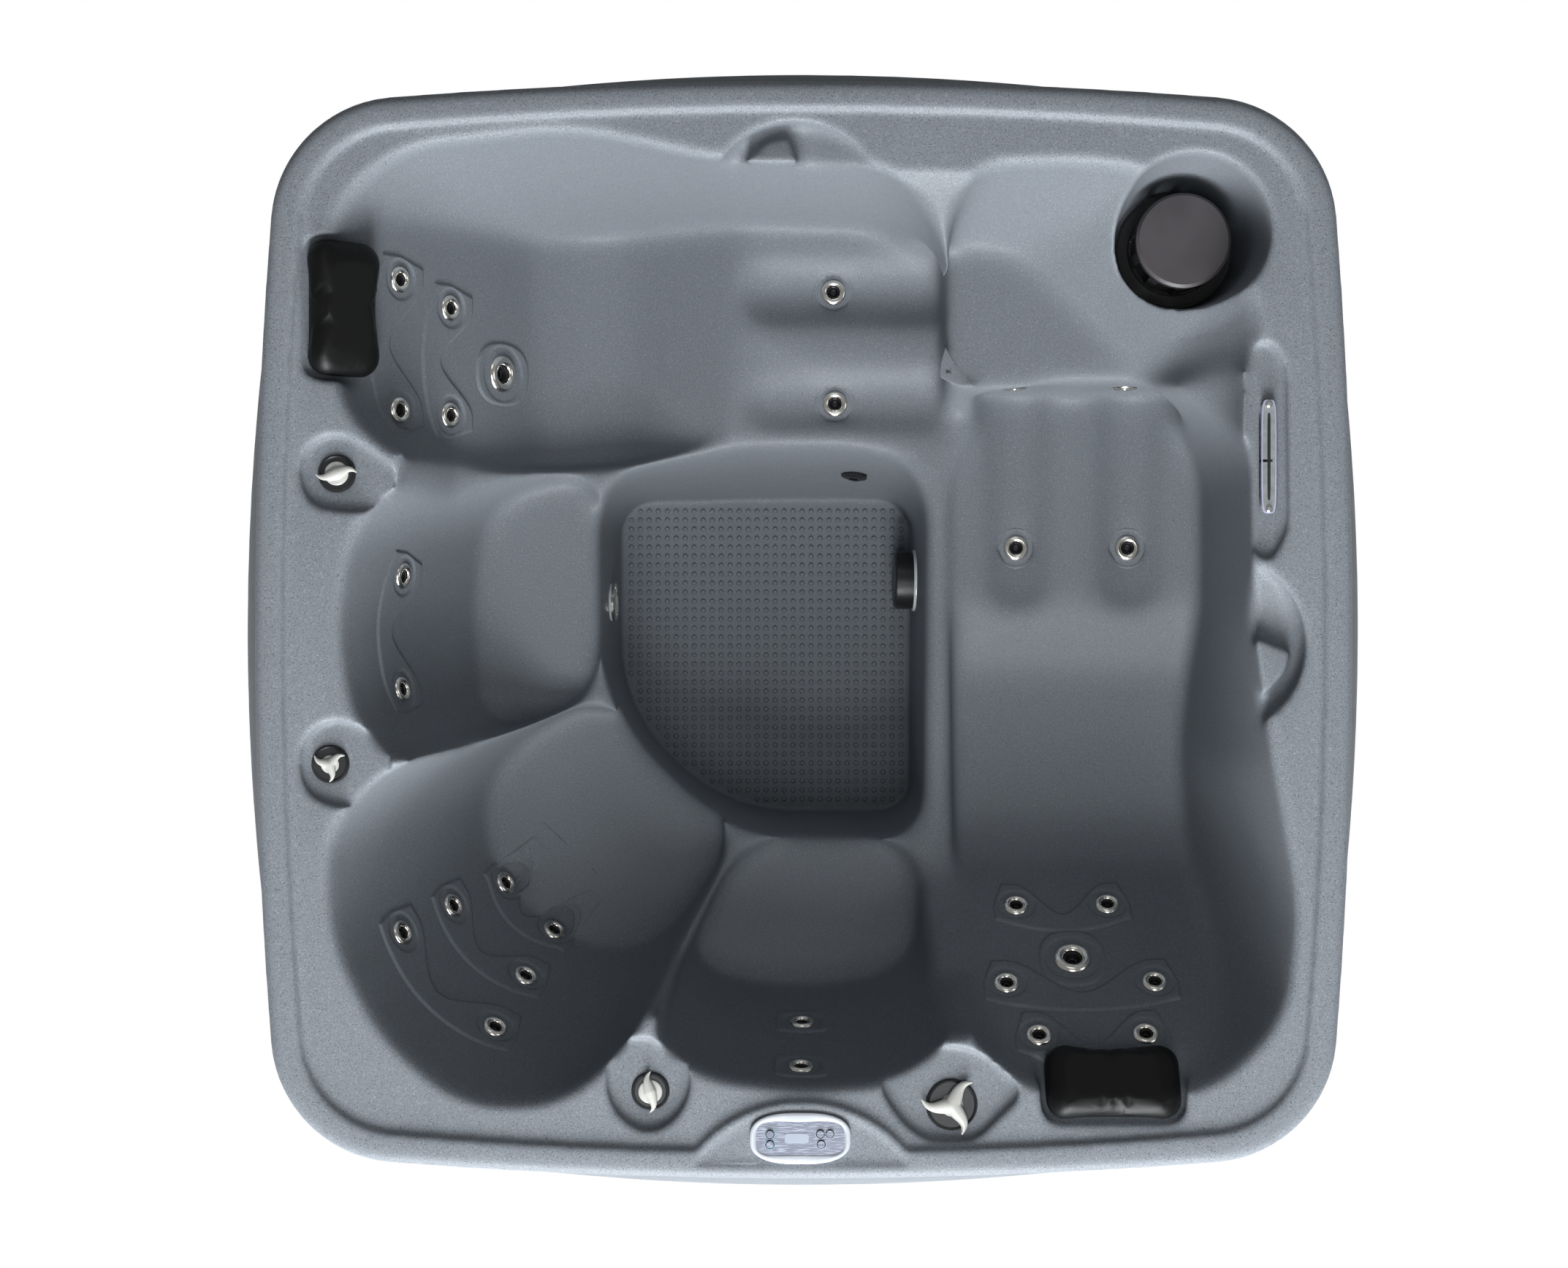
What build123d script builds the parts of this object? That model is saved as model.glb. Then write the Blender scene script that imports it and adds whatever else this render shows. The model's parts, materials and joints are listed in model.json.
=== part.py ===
from build123d import *
import math
import os

# Moulded hot tub with two loungers, three seats and a step, seen from above with the panel side at -Y.
# The origin is on the floor under the middle of the tub. All lengths are in millimetres.

# Overall size
tub_width = 2030.0
tub_depth = 2030.0
tub_height = 880.0
half_x = tub_width / 2
half_y = tub_depth / 2
overrun = 20.0
seat_gap = 0.3

# Rim and deck of the shell
shell_wall = 7.0
rim_inset = 68.0
rim_bow = 45.0
rim_corner = 225.0
rim_band = 50.0
rim_step = 12.0
rim_lip = 62.0
rim_lip_wall = 8.0
rim_edge_radius = 20.0
band_edge_radius = 4.0
basin_edge = 11.0
deck_z = tub_height - rim_step
deck_under = deck_z - shell_wall

# Heights of the seating above the floor
ridge_upper = 640.0
ridge_lower = 520.0
rail_height = 470.0
seat_c_height = 430.0
seat_d_height = 400.0
seat_e_height = 430.0
step_height = 590.0
well_rim_height = 500.0
well_floor = 100.0
lounge_draft_base = 350.0

# Lounger side profiles: seat bottom, calf level and where each starts along the lounger
lounge_seat_height = 385.0
lounge_back_foot = 430.0
lounge_a_calf = 478.0
lounge_b_calf = 440.0
lounge_bend = 120.0
channel_radius = 86.0
channel_depth = 30.0

# Outlines as shares of the tub's half width and half depth, at the deck and at the seat
bowl_rim_shares = [
    (-0.701, 0.258), (-0.720, -0.234), (-0.282, -0.698), (0.266, -0.703),
    (0.729, -0.552), (0.759, 0.552), (0.552, 0.768), (-0.552, 0.788),
]
bowl_upper_shares = [
    (-0.623, 0.276), (-0.635, -0.210), (-0.229, -0.606), (0.258, -0.623),
    (0.690, -0.493), (0.690, 0.425), (0.250, 0.440), (-0.473, 0.729),
]
bowl_lower_shares = [
    (-0.502, 0.286), (-0.517, -0.158), (-0.167, -0.493), (0.236, -0.512),
    (0.650, -0.433), (0.650, 0.405), (0.240, 0.420), (-0.414, 0.690),
]
bowl_floor_shares = [
    (-0.433, 0.286), (-0.443, -0.108), (-0.138, -0.433), (0.227, -0.453),
    (0.591, -0.394), (0.591, 0.385), (0.230, 0.400), (-0.374, 0.640),
]
seat_c_rim_shares = [
    (-0.696, 0.258), (-0.770, 0.167), (-0.796, 0.020), (-0.776, -0.128),
    (-0.713, -0.234), (-0.374, -0.158), (-0.374, 0.296),
]
seat_c_floor_shares = [
    (-0.522, 0.264), (-0.591, 0.202), (-0.609, 0.030), (-0.593, -0.148),
    (-0.532, -0.187), (-0.374, -0.118), (-0.374, 0.296),
]
seat_d_rim_shares = [
    (-0.717, -0.232), (-0.810, -0.335), (-0.810, -0.512), (-0.724, -0.690), (-0.581, -0.808),
    (-0.414, -0.808), (-0.294, -0.711), (-0.128, -0.374), (-0.374, -0.148),
]
seat_d_floor_shares = [
    (-0.532, -0.212), (-0.591, -0.296), (-0.587, -0.414), (-0.522, -0.512), (-0.424, -0.583),
    (-0.305, -0.596), (-0.219, -0.537), (-0.108, -0.374), (-0.374, -0.108),
]
seat_e_rim_shares = [
    (-0.277, -0.695), (-0.167, -0.764), (0.000, -0.785), (0.158, -0.773),
    (0.264, -0.701), (0.233, -0.389), (-0.108, -0.374),
]
seat_e_floor_shares = [
    (-0.212, -0.591), (-0.148, -0.645), (-0.005, -0.662), (0.138, -0.645),
    (0.209, -0.591), (0.225, -0.389), (-0.108, -0.374),
]
step_rim_shares = [
    (0.251, 0.794), (0.463, 0.800), (0.591, 0.788), (0.690, 0.680),
    (0.783, 0.552), (0.764, 0.414), (0.591, 0.414), (0.251, 0.424),
]
step_floor_shares = [
    (0.254, 0.698), (0.325, 0.696), (0.399, 0.674), (0.512, 0.567),
    (0.631, 0.448), (0.591, 0.419), (0.512, 0.418), (0.251, 0.424),
]
well_rim_shares = [
    (-0.382, 0.227), (-0.335, 0.296), (-0.128, 0.345), (0.089, 0.347), (0.187, 0.323),
    (0.231, 0.246), (0.225, -0.335), (0.177, -0.388), (-0.128, -0.388), (-0.378, -0.138),
]
well_floor_shares = [
    (-0.357, 0.212), (-0.320, 0.256), (-0.099, 0.262), (0.089, 0.263), (0.177, 0.260),
    (0.217, 0.217), (0.216, -0.325), (0.177, -0.359), (-0.148, -0.359), (-0.357, -0.153),
]
lounge_a_rim_shares = [
    (-0.788, 0.374), (-0.820, 0.552), (-0.798, 0.729), (-0.680, 0.826), (-0.394, 0.857),
    (-0.148, 0.803), (0.258, 0.794), (0.258, 0.357), (-0.132, 0.351), (-0.325, 0.300),
    (-0.680, 0.281),
]
lounge_a_floor_shares = [
    (-0.552, 0.394), (-0.564, 0.532), (-0.537, 0.650), (-0.473, 0.714), (-0.374, 0.737),
    (-0.128, 0.733), (0.258, 0.724), (0.258, 0.361), (-0.132, 0.355), (-0.325, 0.305),
    (-0.532, 0.296),
]
lounge_b_rim_shares = [
    (0.268, -0.695), (0.379, -0.783), (0.552, -0.800), (0.704, -0.778), (0.826, -0.655),
    (0.845, -0.463), (0.800, -0.217), (0.770, 0.020), (0.764, 0.463), (0.268, 0.463),
]
lounge_b_floor_shares = [
    (0.284, -0.463), (0.345, -0.532), (0.493, -0.552), (0.631, -0.532), (0.695, -0.463),
    (0.711, -0.355), (0.701, -0.217), (0.735, 0.020), (0.735, 0.431), (0.268, 0.431),
]
# Stations along each lounger: head, deck edge, foot of the back, seat, seat, calves
lounge_a_stations_share = [-0.820, -0.806, -0.498, -0.414, -0.325, -0.108, 0.400]
lounge_b_stations_share = [-0.820, -0.788, -0.433, -0.365, -0.079, 0.059, 0.600]
channel_a_shares = [(-0.060, 0.624), (-0.060, 0.419)]
channel_a_end_share = 0.258
channel_b_shares = [(0.400, 0.090), (0.608, 0.090)]
channel_b_end_share = 0.445
knob_pad_shares = [
    [(-0.859, 0.258), (-0.849, 0.310), (-0.798, 0.337), (-0.734, 0.307), (-0.680, 0.258),
     (-0.734, 0.202), (-0.788, 0.202), (-0.837, 0.212)],
    [(-0.859, -0.232), (-0.847, -0.177), (-0.800, -0.150), (-0.739, -0.169), (-0.690, -0.234),
     (-0.734, -0.296), (-0.788, -0.303), (-0.842, -0.281)],
    [(-0.285, -0.680), (-0.340, -0.739), (-0.327, -0.818), (-0.263, -0.861), (-0.202, -0.818),
     (-0.187, -0.741)],
    [(0.266, -0.690), (0.118, -0.759), (0.163, -0.832), (0.207, -0.868), (0.291, -0.868),
     (0.328, -0.832), (0.379, -0.783)],
]
knob_pad_depth = 18.0
corner_share = 0.92

# Hand grips in the deck edge
grip_radius = 153.0
grip_depth = 45.0
grip_places_share = [(0.702, -0.025), (-0.016, 0.713)]
grip_ramp_shares = [0.22, 1.08]
wedge_shares = [(0.30, -0.68), (0.52, -0.62), (0.80, -0.33), (0.88, -0.06), (0.30, 0.15)]
wedge_corner = 8.0
wedge_drop = 5.0
wedge_taper = 6.0
wedge_slope = 9.0

# Recess and fitting of the waterfall
fall_pad_shares = [
    (0.749, 0.463), (0.783, 0.499), (0.820, 0.453), (0.824, 0.169), (0.788, 0.110), (0.754, 0.148),
]
fall_pad_depth = 18.0
fall_place_share = (0.790, 0.294)
fall_length = 195.0
fall_width = 25.0
fall_height = 14.0
fall_body_length = 168.0
fall_body_width = 17.0
fall_body_depth = 46.0
fall_slot_length = 150.0
fall_slot_height = 5.0
fall_screw_spacing = 181.0

# Filter bowl, housing, basket and cartridge
bowl_place_share = (0.664, 0.680)
bowl_mouth_radius = 134.0
bowl_foot_radius = 107.0
bowl_floor = 585.0
canister_radius = 112.0
canister_wall = 4.0
canister_bottom = 195.0
canister_mouth_radius = 86.0
housing_flange_radius = 104.0
housing_flange = 6.0
tower_radius = 82.0
tower_wall = 4.0
tower_top = 728.0
tower_windows = 10
tower_window_width = 34.0
tower_window_height = 84.0
basket_flange_radius = 100.0
basket_flange = 6.0
cartridge_radius = 74.0
cartridge_bore = 27.0
cartridge_cap = 14.0
cartridge_bottom = 230.0
cartridge_top = 560.0
lid_radius = 84.0
lid_thickness = 14.0
lid_edge = 5.0
lid_spigot_depth = 10.0

# Control panel on its mound
mound_place_share = (-0.004, -1.035)
mound_radius = 240.0
panel_bed_radius = 229.0
panel_bed_depth = 5.0
panel_bed_cut_share = 0.908
panel_place_share = (-0.006, -0.861)
panel_length = 180.0
panel_width = 90.0
panel_corner = 40.0
panel_height = 8.0
panel_face_drop = 2.0
panel_bezel = 7.0
panel_tub_length = 150.0
panel_tub_width = 64.0
panel_tub_depth = 26.0
panel_tub_wall = 3.0
screen_length = 41.0
screen_width = 17.0
screen_shift = -6.0
screen_recess = 1.0
button_radius = 6.5
button_clearance = 0.4
button_height = 5.5
button_skirt = 1.2
button_flange = 1.6
button_travel = 1.2
button_places = [(-52.0, 7.5), (-52.0, -10.5), (34.5, 8.0), (51.0, 8.0), (36.0, -10.0)]

# Jets: a fixed body in a hole in the wall and a face that turns in it
jet_sink = 2.5
jet_bed_radius = 33.0
jet_flange_radius = 26.0
jet_flange = 3.0
jet_barrel_radius = 19.0
jet_hole_clearance = 0.6
jet_bore_radius = 15.0
jet_body_radius = 27.0
jet_body_depth = 52.0
jet_face_radius = 24.0
jet_face_height = 5.0
jet_stem_clearance = 0.3
jet_stem_depth = 20.0
jet_nozzle_radius = 8.0
big_jet_scale = 1.45
wall_gap = 1.5
slope_jet_shares = [
    (-0.706, 0.613), (-0.706, 0.384), (-0.631, 0.576), (-0.631, 0.384),
    (0.058, 0.626), (0.061, 0.419), (0.400, 0.153), (0.608, 0.153),
    (-0.706, 0.095), (-0.706, -0.105),
    (-0.554, -0.473), (-0.463, -0.561), (-0.633, -0.500), (-0.503, -0.629), (-0.704, -0.533),
    (-0.543, -0.701),
    (-0.001, -0.706), (-0.004, -0.756),
    (0.391, -0.504), (0.558, -0.502), (0.361, -0.626), (0.624, -0.624), (0.409, -0.704),
    (0.595, -0.702),
]
big_jet_shares = [(-0.550, 0.469), (0.483, -0.588)]
foot_jet_shares = [(0.389, 0.3), (0.591, 0.3)]
foot_jet_height = 505.0

# Valves and their knobs on the deck
knob_places_share = [(-0.795, 0.266), (-0.806, -0.229), (-0.261, -0.786), (0.252, -0.809)]
knob_wings = [2, 3, 2, 3]
small_collar_radius = 33.0
large_collar_radius = 45.0
collar_height = 6.0
collar_dish = 2.5
valve_neck_share = 0.72
valve_stem_share = 0.36
valve_depth = 70.0
valve_stem_clearance = 0.3
knob_stem_depth = 14.0
knob_disc_share = 0.62
knob_disc_height = 4.0
knob_wing_height = 11.0
knob_wing_share = 1.06
large_wing_share = 1.15
wing_root_share = 0.27
wing_bow_share = 0.6

# Pillows
pillow_length = 247.0
pillow_width = 142.0
pillow_thickness = 52.0
pillow_hollow = 9.0
pillow_corner = 34.0
pillow_tilts = [38.0, 33.0]
pillow_sink = 7.0
pillow_edge_gap = 2.0
pillow_pin_radius = 5.0
pillow_pin_length = 6.0
pillow_pin_spacing = 150.0
pillow_pin_clearance = 0.4
pillow_a_share = (-0.798, 0.548)
pillow_b_share = (0.527, -0.782)
pillow_crown_shares = [(0.0, 0.93), (0.4, 1.0), (0.8, 0.93), (1.0, 0.74)]

# Fittings in the footwell, each on a flat bed
well_sink = 1.5
suction_radius = 56.0
suction_length = 42.0
suction_wall = 4.0
suction_ring = 60.0
suction_ring_thickness = 5.0
suction_slots = 12
suction_slot_width = 9.0
suction_slot_length = 26.0
suction_neck_radius = 30.0
suction_neck_length = 40.0
suction_share = (0.0, 0.097)
suction_height = 200.0
light_radius = 37.0
light_share = (0.0, 0.054)
light_height = 250.0
light_thickness = 9.0
light_lens_radius = 29.0
light_neck_radius = 20.0
light_neck_length = 38.0
return_radius = 25.0
return_share = (0.101, 0.0)
return_height = 270.0
return_thickness = 8.0
return_bore = 9.0
return_neck_radius = 14.0
return_neck_length = 34.0

# Skirt, door and base
skirt_wall = 5.0
skirt_foot_inset = 110.0
skirt_low_inset = 28.0
skirt_low_height = 300.0
skirt_bulge_height = 620.0
skirt_bulge_inset = 7.0
skirt_top_inset = 81.0
skirt_top_height = 805.0
skirt_foot_bow = 40.0
skirt_bulge_bow = 95.0
skirt_corner = 240.0
door_width = 640.0
door_bottom = 95.0
door_height = 500.0
door_corner = 40.0
door_gap = 3.0
door_frame = 30.0
door_frame_wall = 5.0
door_grip_length = 120.0
door_grip_width = 26.0
door_grip_drop = 60.0
base_plate = 12.0
base_upstand = 46.0
base_upstand_wall = 6.0
plinth_width = 470.0
plinth_depth = 520.0
plinth_wall = 18.0
plinth_share = (-0.07, -0.05)

# Equipment on the base
pump_axis_height = 150.0
pump_share = (-0.13, -0.73)
motor_radius = 75.0
motor_length = 240.0
motor_fan_cover = 40.0
volute_radius = 95.0
volute_length = 80.0
port_radius = 34.0
port_length = 30.0
pump_foot_width = 150.0
pump_foot_length = 120.0
pump_foot_wall = 8.0
box_length = 320.0
box_width = 120.0
box_height = 230.0
box_edge = 12.0
box_share = (0.545, -0.70)
heater_radius = 36.0
heater_length = 240.0
heater_height = 85.0
heater_gap = 12.0
clip_width = 24.0
pipe_radius = 25.0
pipe_bend = 45.0

# Drain, cable entry and screws
flat_depth = 1.5
drain_share = -0.58
drain_height = 70.0
drain_flange_radius = 34.0
drain_flange = 5.0
drain_pipe_radius = 16.0
drain_pipe_length = 60.0
drain_spout = 16.0
cap_radius = 21.0
cap_wall = 4.0
cap_length = 22.0
cap_clearance = 0.4
gland_share = 0.60
gland_height = 70.0
gland_radius = 17.0
gland_nut = 10.0
gland_dome = 14.0
gland_bore = 7.0
screw_head_radius = 6.0
screw_head = 3.0
screw_shank_radius = 2.5
screw_length = 12.0
skirt_screw_shares = [-0.42, 0.42]
skirt_screw_height = 34.0


# Plan place in millimetres of a pair of shares
def at(share):
    return (share[0] * half_x, share[1] * half_y)


# Twice the signed area of a closed polygon, positive when it runs anticlockwise
def doubled_area(points):
    total = 0
    for before, here in zip(points[-1:] + points[:-1], points):
        total += before[0] * here[1] - here[0] * before[1]
    return total


# Polygon moved outwards by a distance, with the radius of each of its rounded corners
def grown(shares, grow):
    points = [at(share) for share in shares]
    side = math.copysign(1, doubled_area(points))
    moved = []
    radii = []
    for before, here, after in zip(points[-1:] + points[:-1], points, points[1:] + points[:1]):
        back = Vector(here[0] - before[0], here[1] - before[1])
        ahead = Vector(after[0] - here[0], after[1] - here[1])
        normal_back = Vector(back.Y, -back.X).normalized() * side
        normal_ahead = Vector(ahead.Y, -ahead.X).normalized() * side
        reach = grow / (1 + normal_back.dot(normal_ahead))
        moved.append(Vector(*here) + (normal_back + normal_ahead) * reach)
        half_turn = math.radians(back.get_angle(ahead)) / 2
        bend = math.copysign(1, back.X * ahead.Y - back.Y * ahead.X) * side
        largest = min(back.length, ahead.length) / 2 / math.tan(half_turn)
        radii.append(min(largest * corner_share, half_x / 2) + grow * bend)
    return moved, radii


# Solid between outlines at given heights, all grown by the same distance
def hollow(rows, grow):
    with BuildPart() as space:
        for height, shares, extra in rows:
            points, radii = grown(shares, grow + extra)
            with BuildSketch(Plane.XY.offset(height)):
                with BuildLine():
                    FilletPolyline(*points, radius=radii, close=True)
                make_face()
        loft(ruled=True)
    return space.part


# Rows of a hollow's mouth, from above the rim down past the soft edge at the deck
def mouth(rim_shares):
    flare = basin_edge / 2
    return [
        (tub_height + overrun, rim_shares, flare),
        (deck_z, rim_shares, flare),
        (deck_z - basin_edge, rim_shares, -flare),
    ]


# Hollow from above the deck down to a floor
def pocket(rim_shares, floor_shares, floor, grow):
    return hollow(mouth(rim_shares) + [(floor - grow, floor_shares, 0)], grow)


# Prism of a lounger's side profile, which the lounger's plan is cut to
def lounge_side(plane, stations, calf, reach, grow):
    heights = [deck_z, lounge_back_foot, lounge_seat_height, lounge_seat_height, calf, calf]
    top = tub_height + 4 * overrun
    outline = [(stations[0] * reach, top)]
    for station, height in zip(stations[1:], heights):
        outline.append((station * reach, height))
    outline.append((stations[-1] * reach, top))
    with BuildPart() as side:
        with BuildSketch(plane):
            with BuildLine():
                bends = [0, 0] + [lounge_bend] * 4 + [0, 0]
                FilletPolyline(*outline, radius=bends, close=True)
            make_face()
            if grow:
                offset(amount=grow, kind=Kind.INTERSECTION)
        extrude(amount=half_x, both=True)
    return side.part


# Round-ended channel for a calf, turned about its own axis
def channel(share, end, level, along, grow):
    radius = channel_radius + grow
    start = Vector(*at(share), level + channel_radius - channel_depth)
    run = (end - start).dot(along) + grow
    with BuildPart() as groove:
        with BuildSketch(Plane(start, x_dir=along, z_dir=along.cross(Vector(0, 0, 1)))):
            with BuildLine():
                CenterArc((0, 0), radius, 90, 90)
                Polyline((-radius, 0), (run, 0), (run, radius), (0, radius))
            make_face()
        revolve(axis=Axis(start, along))
    return groove.part


# Shallow tray sunk into the deck
def tray(shares, depth, grow):
    return hollow([(tub_height + overrun, shares, 0), (deck_z - depth - grow, shares, 0)], grow)


# Scoop of a hand grip round the origin, outwards along X: a ramp down to a groove round a wedge to hold
def grip(grow):
    scoop_floor = deck_z - grip_depth - grow
    with BuildPart() as wedge:
        with BuildSketch(Plane.XY.offset(scoop_floor)):
            with BuildLine():
                Polyline(*[(x * grip_radius, y * grip_radius) for x, y in wedge_shares], close=True)
            wedge_face = make_face()
            fillet(wedge_face.vertices(), wedge_corner)
        extrude(amount=grip_depth, taper=wedge_taper)
        top = Plane((grip_radius * wedge_shares[-1][0], 0, deck_z - wedge_drop)).rotated((0, wedge_slope, 0))
        split(bisect_by=top, keep=Keep.BOTTOM)
    with BuildPart() as scoop:
        with BuildSketch(Plane.XY.offset(scoop_floor)):
            Circle(grip_radius + grow)
        extrude(amount=tub_height + overrun - scoop_floor)
        with BuildSketch(Plane.YZ):
            with BuildLine():
                foot, head = [share * grip_radius for share in grip_ramp_shares]
                Polyline((foot, scoop_floor), (head, deck_z - grow), (head, scoop_floor), close=True)
            make_face()
        extrude(amount=2 * grip_radius, both=True, mode=Mode.SUBTRACT)
        if not grow:
            add(wedge.part, mode=Mode.SUBTRACT)
    return scoop.part


# Both hand grips: the second is the first one mirrored, so that it lies along the other side
def grips(grow):
    first = grip(grow)
    second = first.mirror(Plane(origin=(0, 0, 0), z_dir=(1, -1, 0)))
    return [scoop.moved(Location((*at(place), 0))) for scoop, place in zip((first, second), grip_places_share)]


# Outline of a pillow on its seat, hollowed along the side towards the water
def pillow_outline(margin, size_share=1.0):
    with BuildSketch() as outline:
        with BuildLine():
            x = pillow_length / 2 * size_share
            y = pillow_width / 2 * size_share
            Polyline((x, -y), (x, y), (-x, y), (-x, -y))
            ThreePointArc((-x, -y), (0, pillow_hollow - y), (x, -y))
        make_face()
        fillet(outline.vertices(), pillow_corner * size_share)
        if margin:
            offset(amount=margin)
    return outline.sketch


# Sloping seat of a pillow, with its local Y axis away from the water
def pillow_seat(share, outwards, tilt):
    x, y = at(share)
    lean = math.radians(tilt)
    height = deck_z - pillow_sink - pillow_width / 2 * math.sin(lean)
    normal = Vector(0, 0, math.cos(lean)) - outwards * math.sin(lean)
    along = outwards.cross(Vector(0, 0, 1))
    return Plane(Vector(x, y, height), x_dir=along, z_dir=normal)


pillow_seats = [
    pillow_seat(pillow_a_share, Vector(-1, 0, 0), pillow_tilts[0]),
    pillow_seat(pillow_b_share, Vector(0, -1, 0), pillow_tilts[1]),
]


# Conical bowl of the filter, open above the rim
def filter_bowl(grow):
    with BuildPart() as bowl:
        with BuildSketch(Plane.XY.offset(bowl_floor - grow)):
            with Locations(at(bowl_place_share)):
                Circle(bowl_foot_radius + grow)
        with BuildSketch(Plane.XY.offset(deck_z)):
            with Locations(at(bowl_place_share)):
                Circle(bowl_mouth_radius + grow)
        loft()
        extrude(bowl.faces().sort_by(Axis.Z)[-1], amount=rim_step + overrun)
    return bowl.part


# Pocket that a pillow lies in
def pillow_bed(seat, grow):
    with BuildPart() as bed:
        with BuildSketch(seat.offset(-grow)):
            add(pillow_outline(pillow_edge_gap + grow))
        extrude(amount=pillow_width + grow)
    return bed.part


# All the space inside the shell, or that space grown by the wall
def water_space(grow):
    bowl_rows = mouth(bowl_rim_shares) + [
        (ridge_upper, bowl_upper_shares, 0),
        (ridge_lower, bowl_lower_shares, 0),
        (rail_height - grow, bowl_floor_shares, 0),
    ]
    well_rows = [(well_rim_height, well_rim_shares, 0), (well_floor - grow, well_floor_shares, 0)]
    side_a = lounge_side(Plane.XZ, lounge_a_stations_share, lounge_a_calf, half_x, grow)
    side_b = lounge_side(Plane.YZ, lounge_b_stations_share, lounge_b_calf, half_y, grow)
    foot_a = Vector(channel_a_end_share * half_x, 0, 0)
    foot_b = Vector(0, channel_b_end_share * half_y, 0)
    hollows = [
        hollow(bowl_rows, grow),
        hollow(well_rows, grow),
        pocket(seat_c_rim_shares, seat_c_floor_shares, seat_c_height, grow),
        pocket(seat_d_rim_shares, seat_d_floor_shares, seat_d_height, grow),
        pocket(seat_e_rim_shares, seat_e_floor_shares, seat_e_height, grow),
        pocket(step_rim_shares, step_floor_shares, step_height, grow),
        pocket(lounge_a_rim_shares, lounge_a_floor_shares, lounge_draft_base, grow) & side_a,
        pocket(lounge_b_rim_shares, lounge_b_floor_shares, lounge_draft_base, grow) & side_b,
        filter_bowl(grow),
        tray(fall_pad_shares, fall_pad_depth, grow),
    ]
    hollows += [channel(share, foot_a, lounge_a_calf, Vector(1, 0, 0), grow) for share in channel_a_shares]
    hollows += [channel(share, foot_b, lounge_b_calf, Vector(0, 1, 0), grow) for share in channel_b_shares]
    hollows += [tray(pad, knob_pad_depth, grow) for pad in knob_pad_shares]
    hollows += grips(grow)
    hollows += [pillow_bed(seat, grow) for seat in pillow_seats]
    with BuildPart() as space:
        add(hollows)
    return space.part


# Face between four bowed sides with rounded corners, set in from the tub's half sizes
def bowed(inset, bow, corner):
    with BuildSketch() as face:
        with BuildLine():
            x = half_x - inset
            y = half_y - inset
            ThreePointArc((x - bow, bow - y), (x, 0), (x - bow, y - bow))
            ThreePointArc((x - bow, y - bow), (0, y), (bow - x, y - bow))
            ThreePointArc((bow - x, y - bow), (-x, 0), (bow - x, bow - y))
            ThreePointArc((bow - x, bow - y), (0, -y), (x - bow, bow - y))
        make_face()
        fillet(face.vertices(), corner)
    return face.sketch


# Plane on the surface of a solid where a ray from outside or inside first meets it
def wall_spot(solid, start, direction):
    direction = Vector(*direction)
    start = Vector(*start)
    for point, normal in solid.find_intersection_points(Axis(start, direction)):
        if (point - start).dot(direction) > 0:
            break
    inwards = -normal
    level = Vector(0, 0, 1).cross(inwards)
    along = level.normalized() if level.length > fall_pad_depth / half_x else Vector(1, 0, 0)
    return Plane(point, x_dir=along, z_dir=inwards)


# Solid turned about the normal of a spot, from its outline of radius and height
def turned(spot, outline):
    with BuildPart() as body:
        with BuildSketch(Plane(spot.origin, x_dir=spot.x_dir, z_dir=spot.x_dir.cross(spot.z_dir))):
            with BuildLine():
                Polyline(*outline, close=True)
            make_face()
        revolve(axis=Axis(spot.origin, spot.z_dir))
    return body.part


def finish(body, name):
    body.part.label = name
    export_step(body.part, f"parts/{name}.step")


os.makedirs("parts", exist_ok=True)
water = water_space(0)
walls = water_space(shell_wall)

# Places of the jets, each on the wall that carries it
slope_spots = [wall_spot(water, (*at(share), 0), (0, 0, 1)) for share in slope_jet_shares]
big_spots = [wall_spot(water, (*at(share), 0), (0, 0, 1)) for share in big_jet_shares]
foot_spots = [wall_spot(water, (*at(share), foot_jet_height), (0, 1, 0)) for share in foot_jet_shares]
jet_spots = [(spot.offset(-jet_sink), 1.0) for spot in slope_spots + foot_spots]
jet_spots += [(spot.offset(-jet_sink), big_jet_scale) for spot in big_spots]

# Places of the fittings in the footwell
suction_spot = wall_spot(water, (*at(suction_share), suction_height), (1, 0, 0)).offset(-well_sink)
light_spot = wall_spot(water, (*at(light_share), light_height), (-1, 0, 0)).offset(-well_sink)
return_spot = wall_spot(water, (*at(return_share), return_height), (0, 1, 0)).offset(-well_sink)
well_fittings = [
    (suction_spot, suction_ring, suction_neck_radius),
    (light_spot, light_radius, light_neck_radius),
    (return_spot, return_radius, return_neck_radius),
]

# Places on the deck
pad_z = deck_z - knob_pad_depth
knob_spots = [Plane((*at(share), pad_z)) for share in knob_places_share]
collar_radii = [small_collar_radius, small_collar_radius, small_collar_radius, large_collar_radius]
fall_spot = Plane((*at(fall_place_share), deck_z - fall_pad_depth))
panel_bed_z = tub_height - panel_bed_depth
panel_spot = Plane((*at(panel_place_share), panel_bed_z))
filter_spot = Plane((*at(bowl_place_share), bowl_floor))

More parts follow.
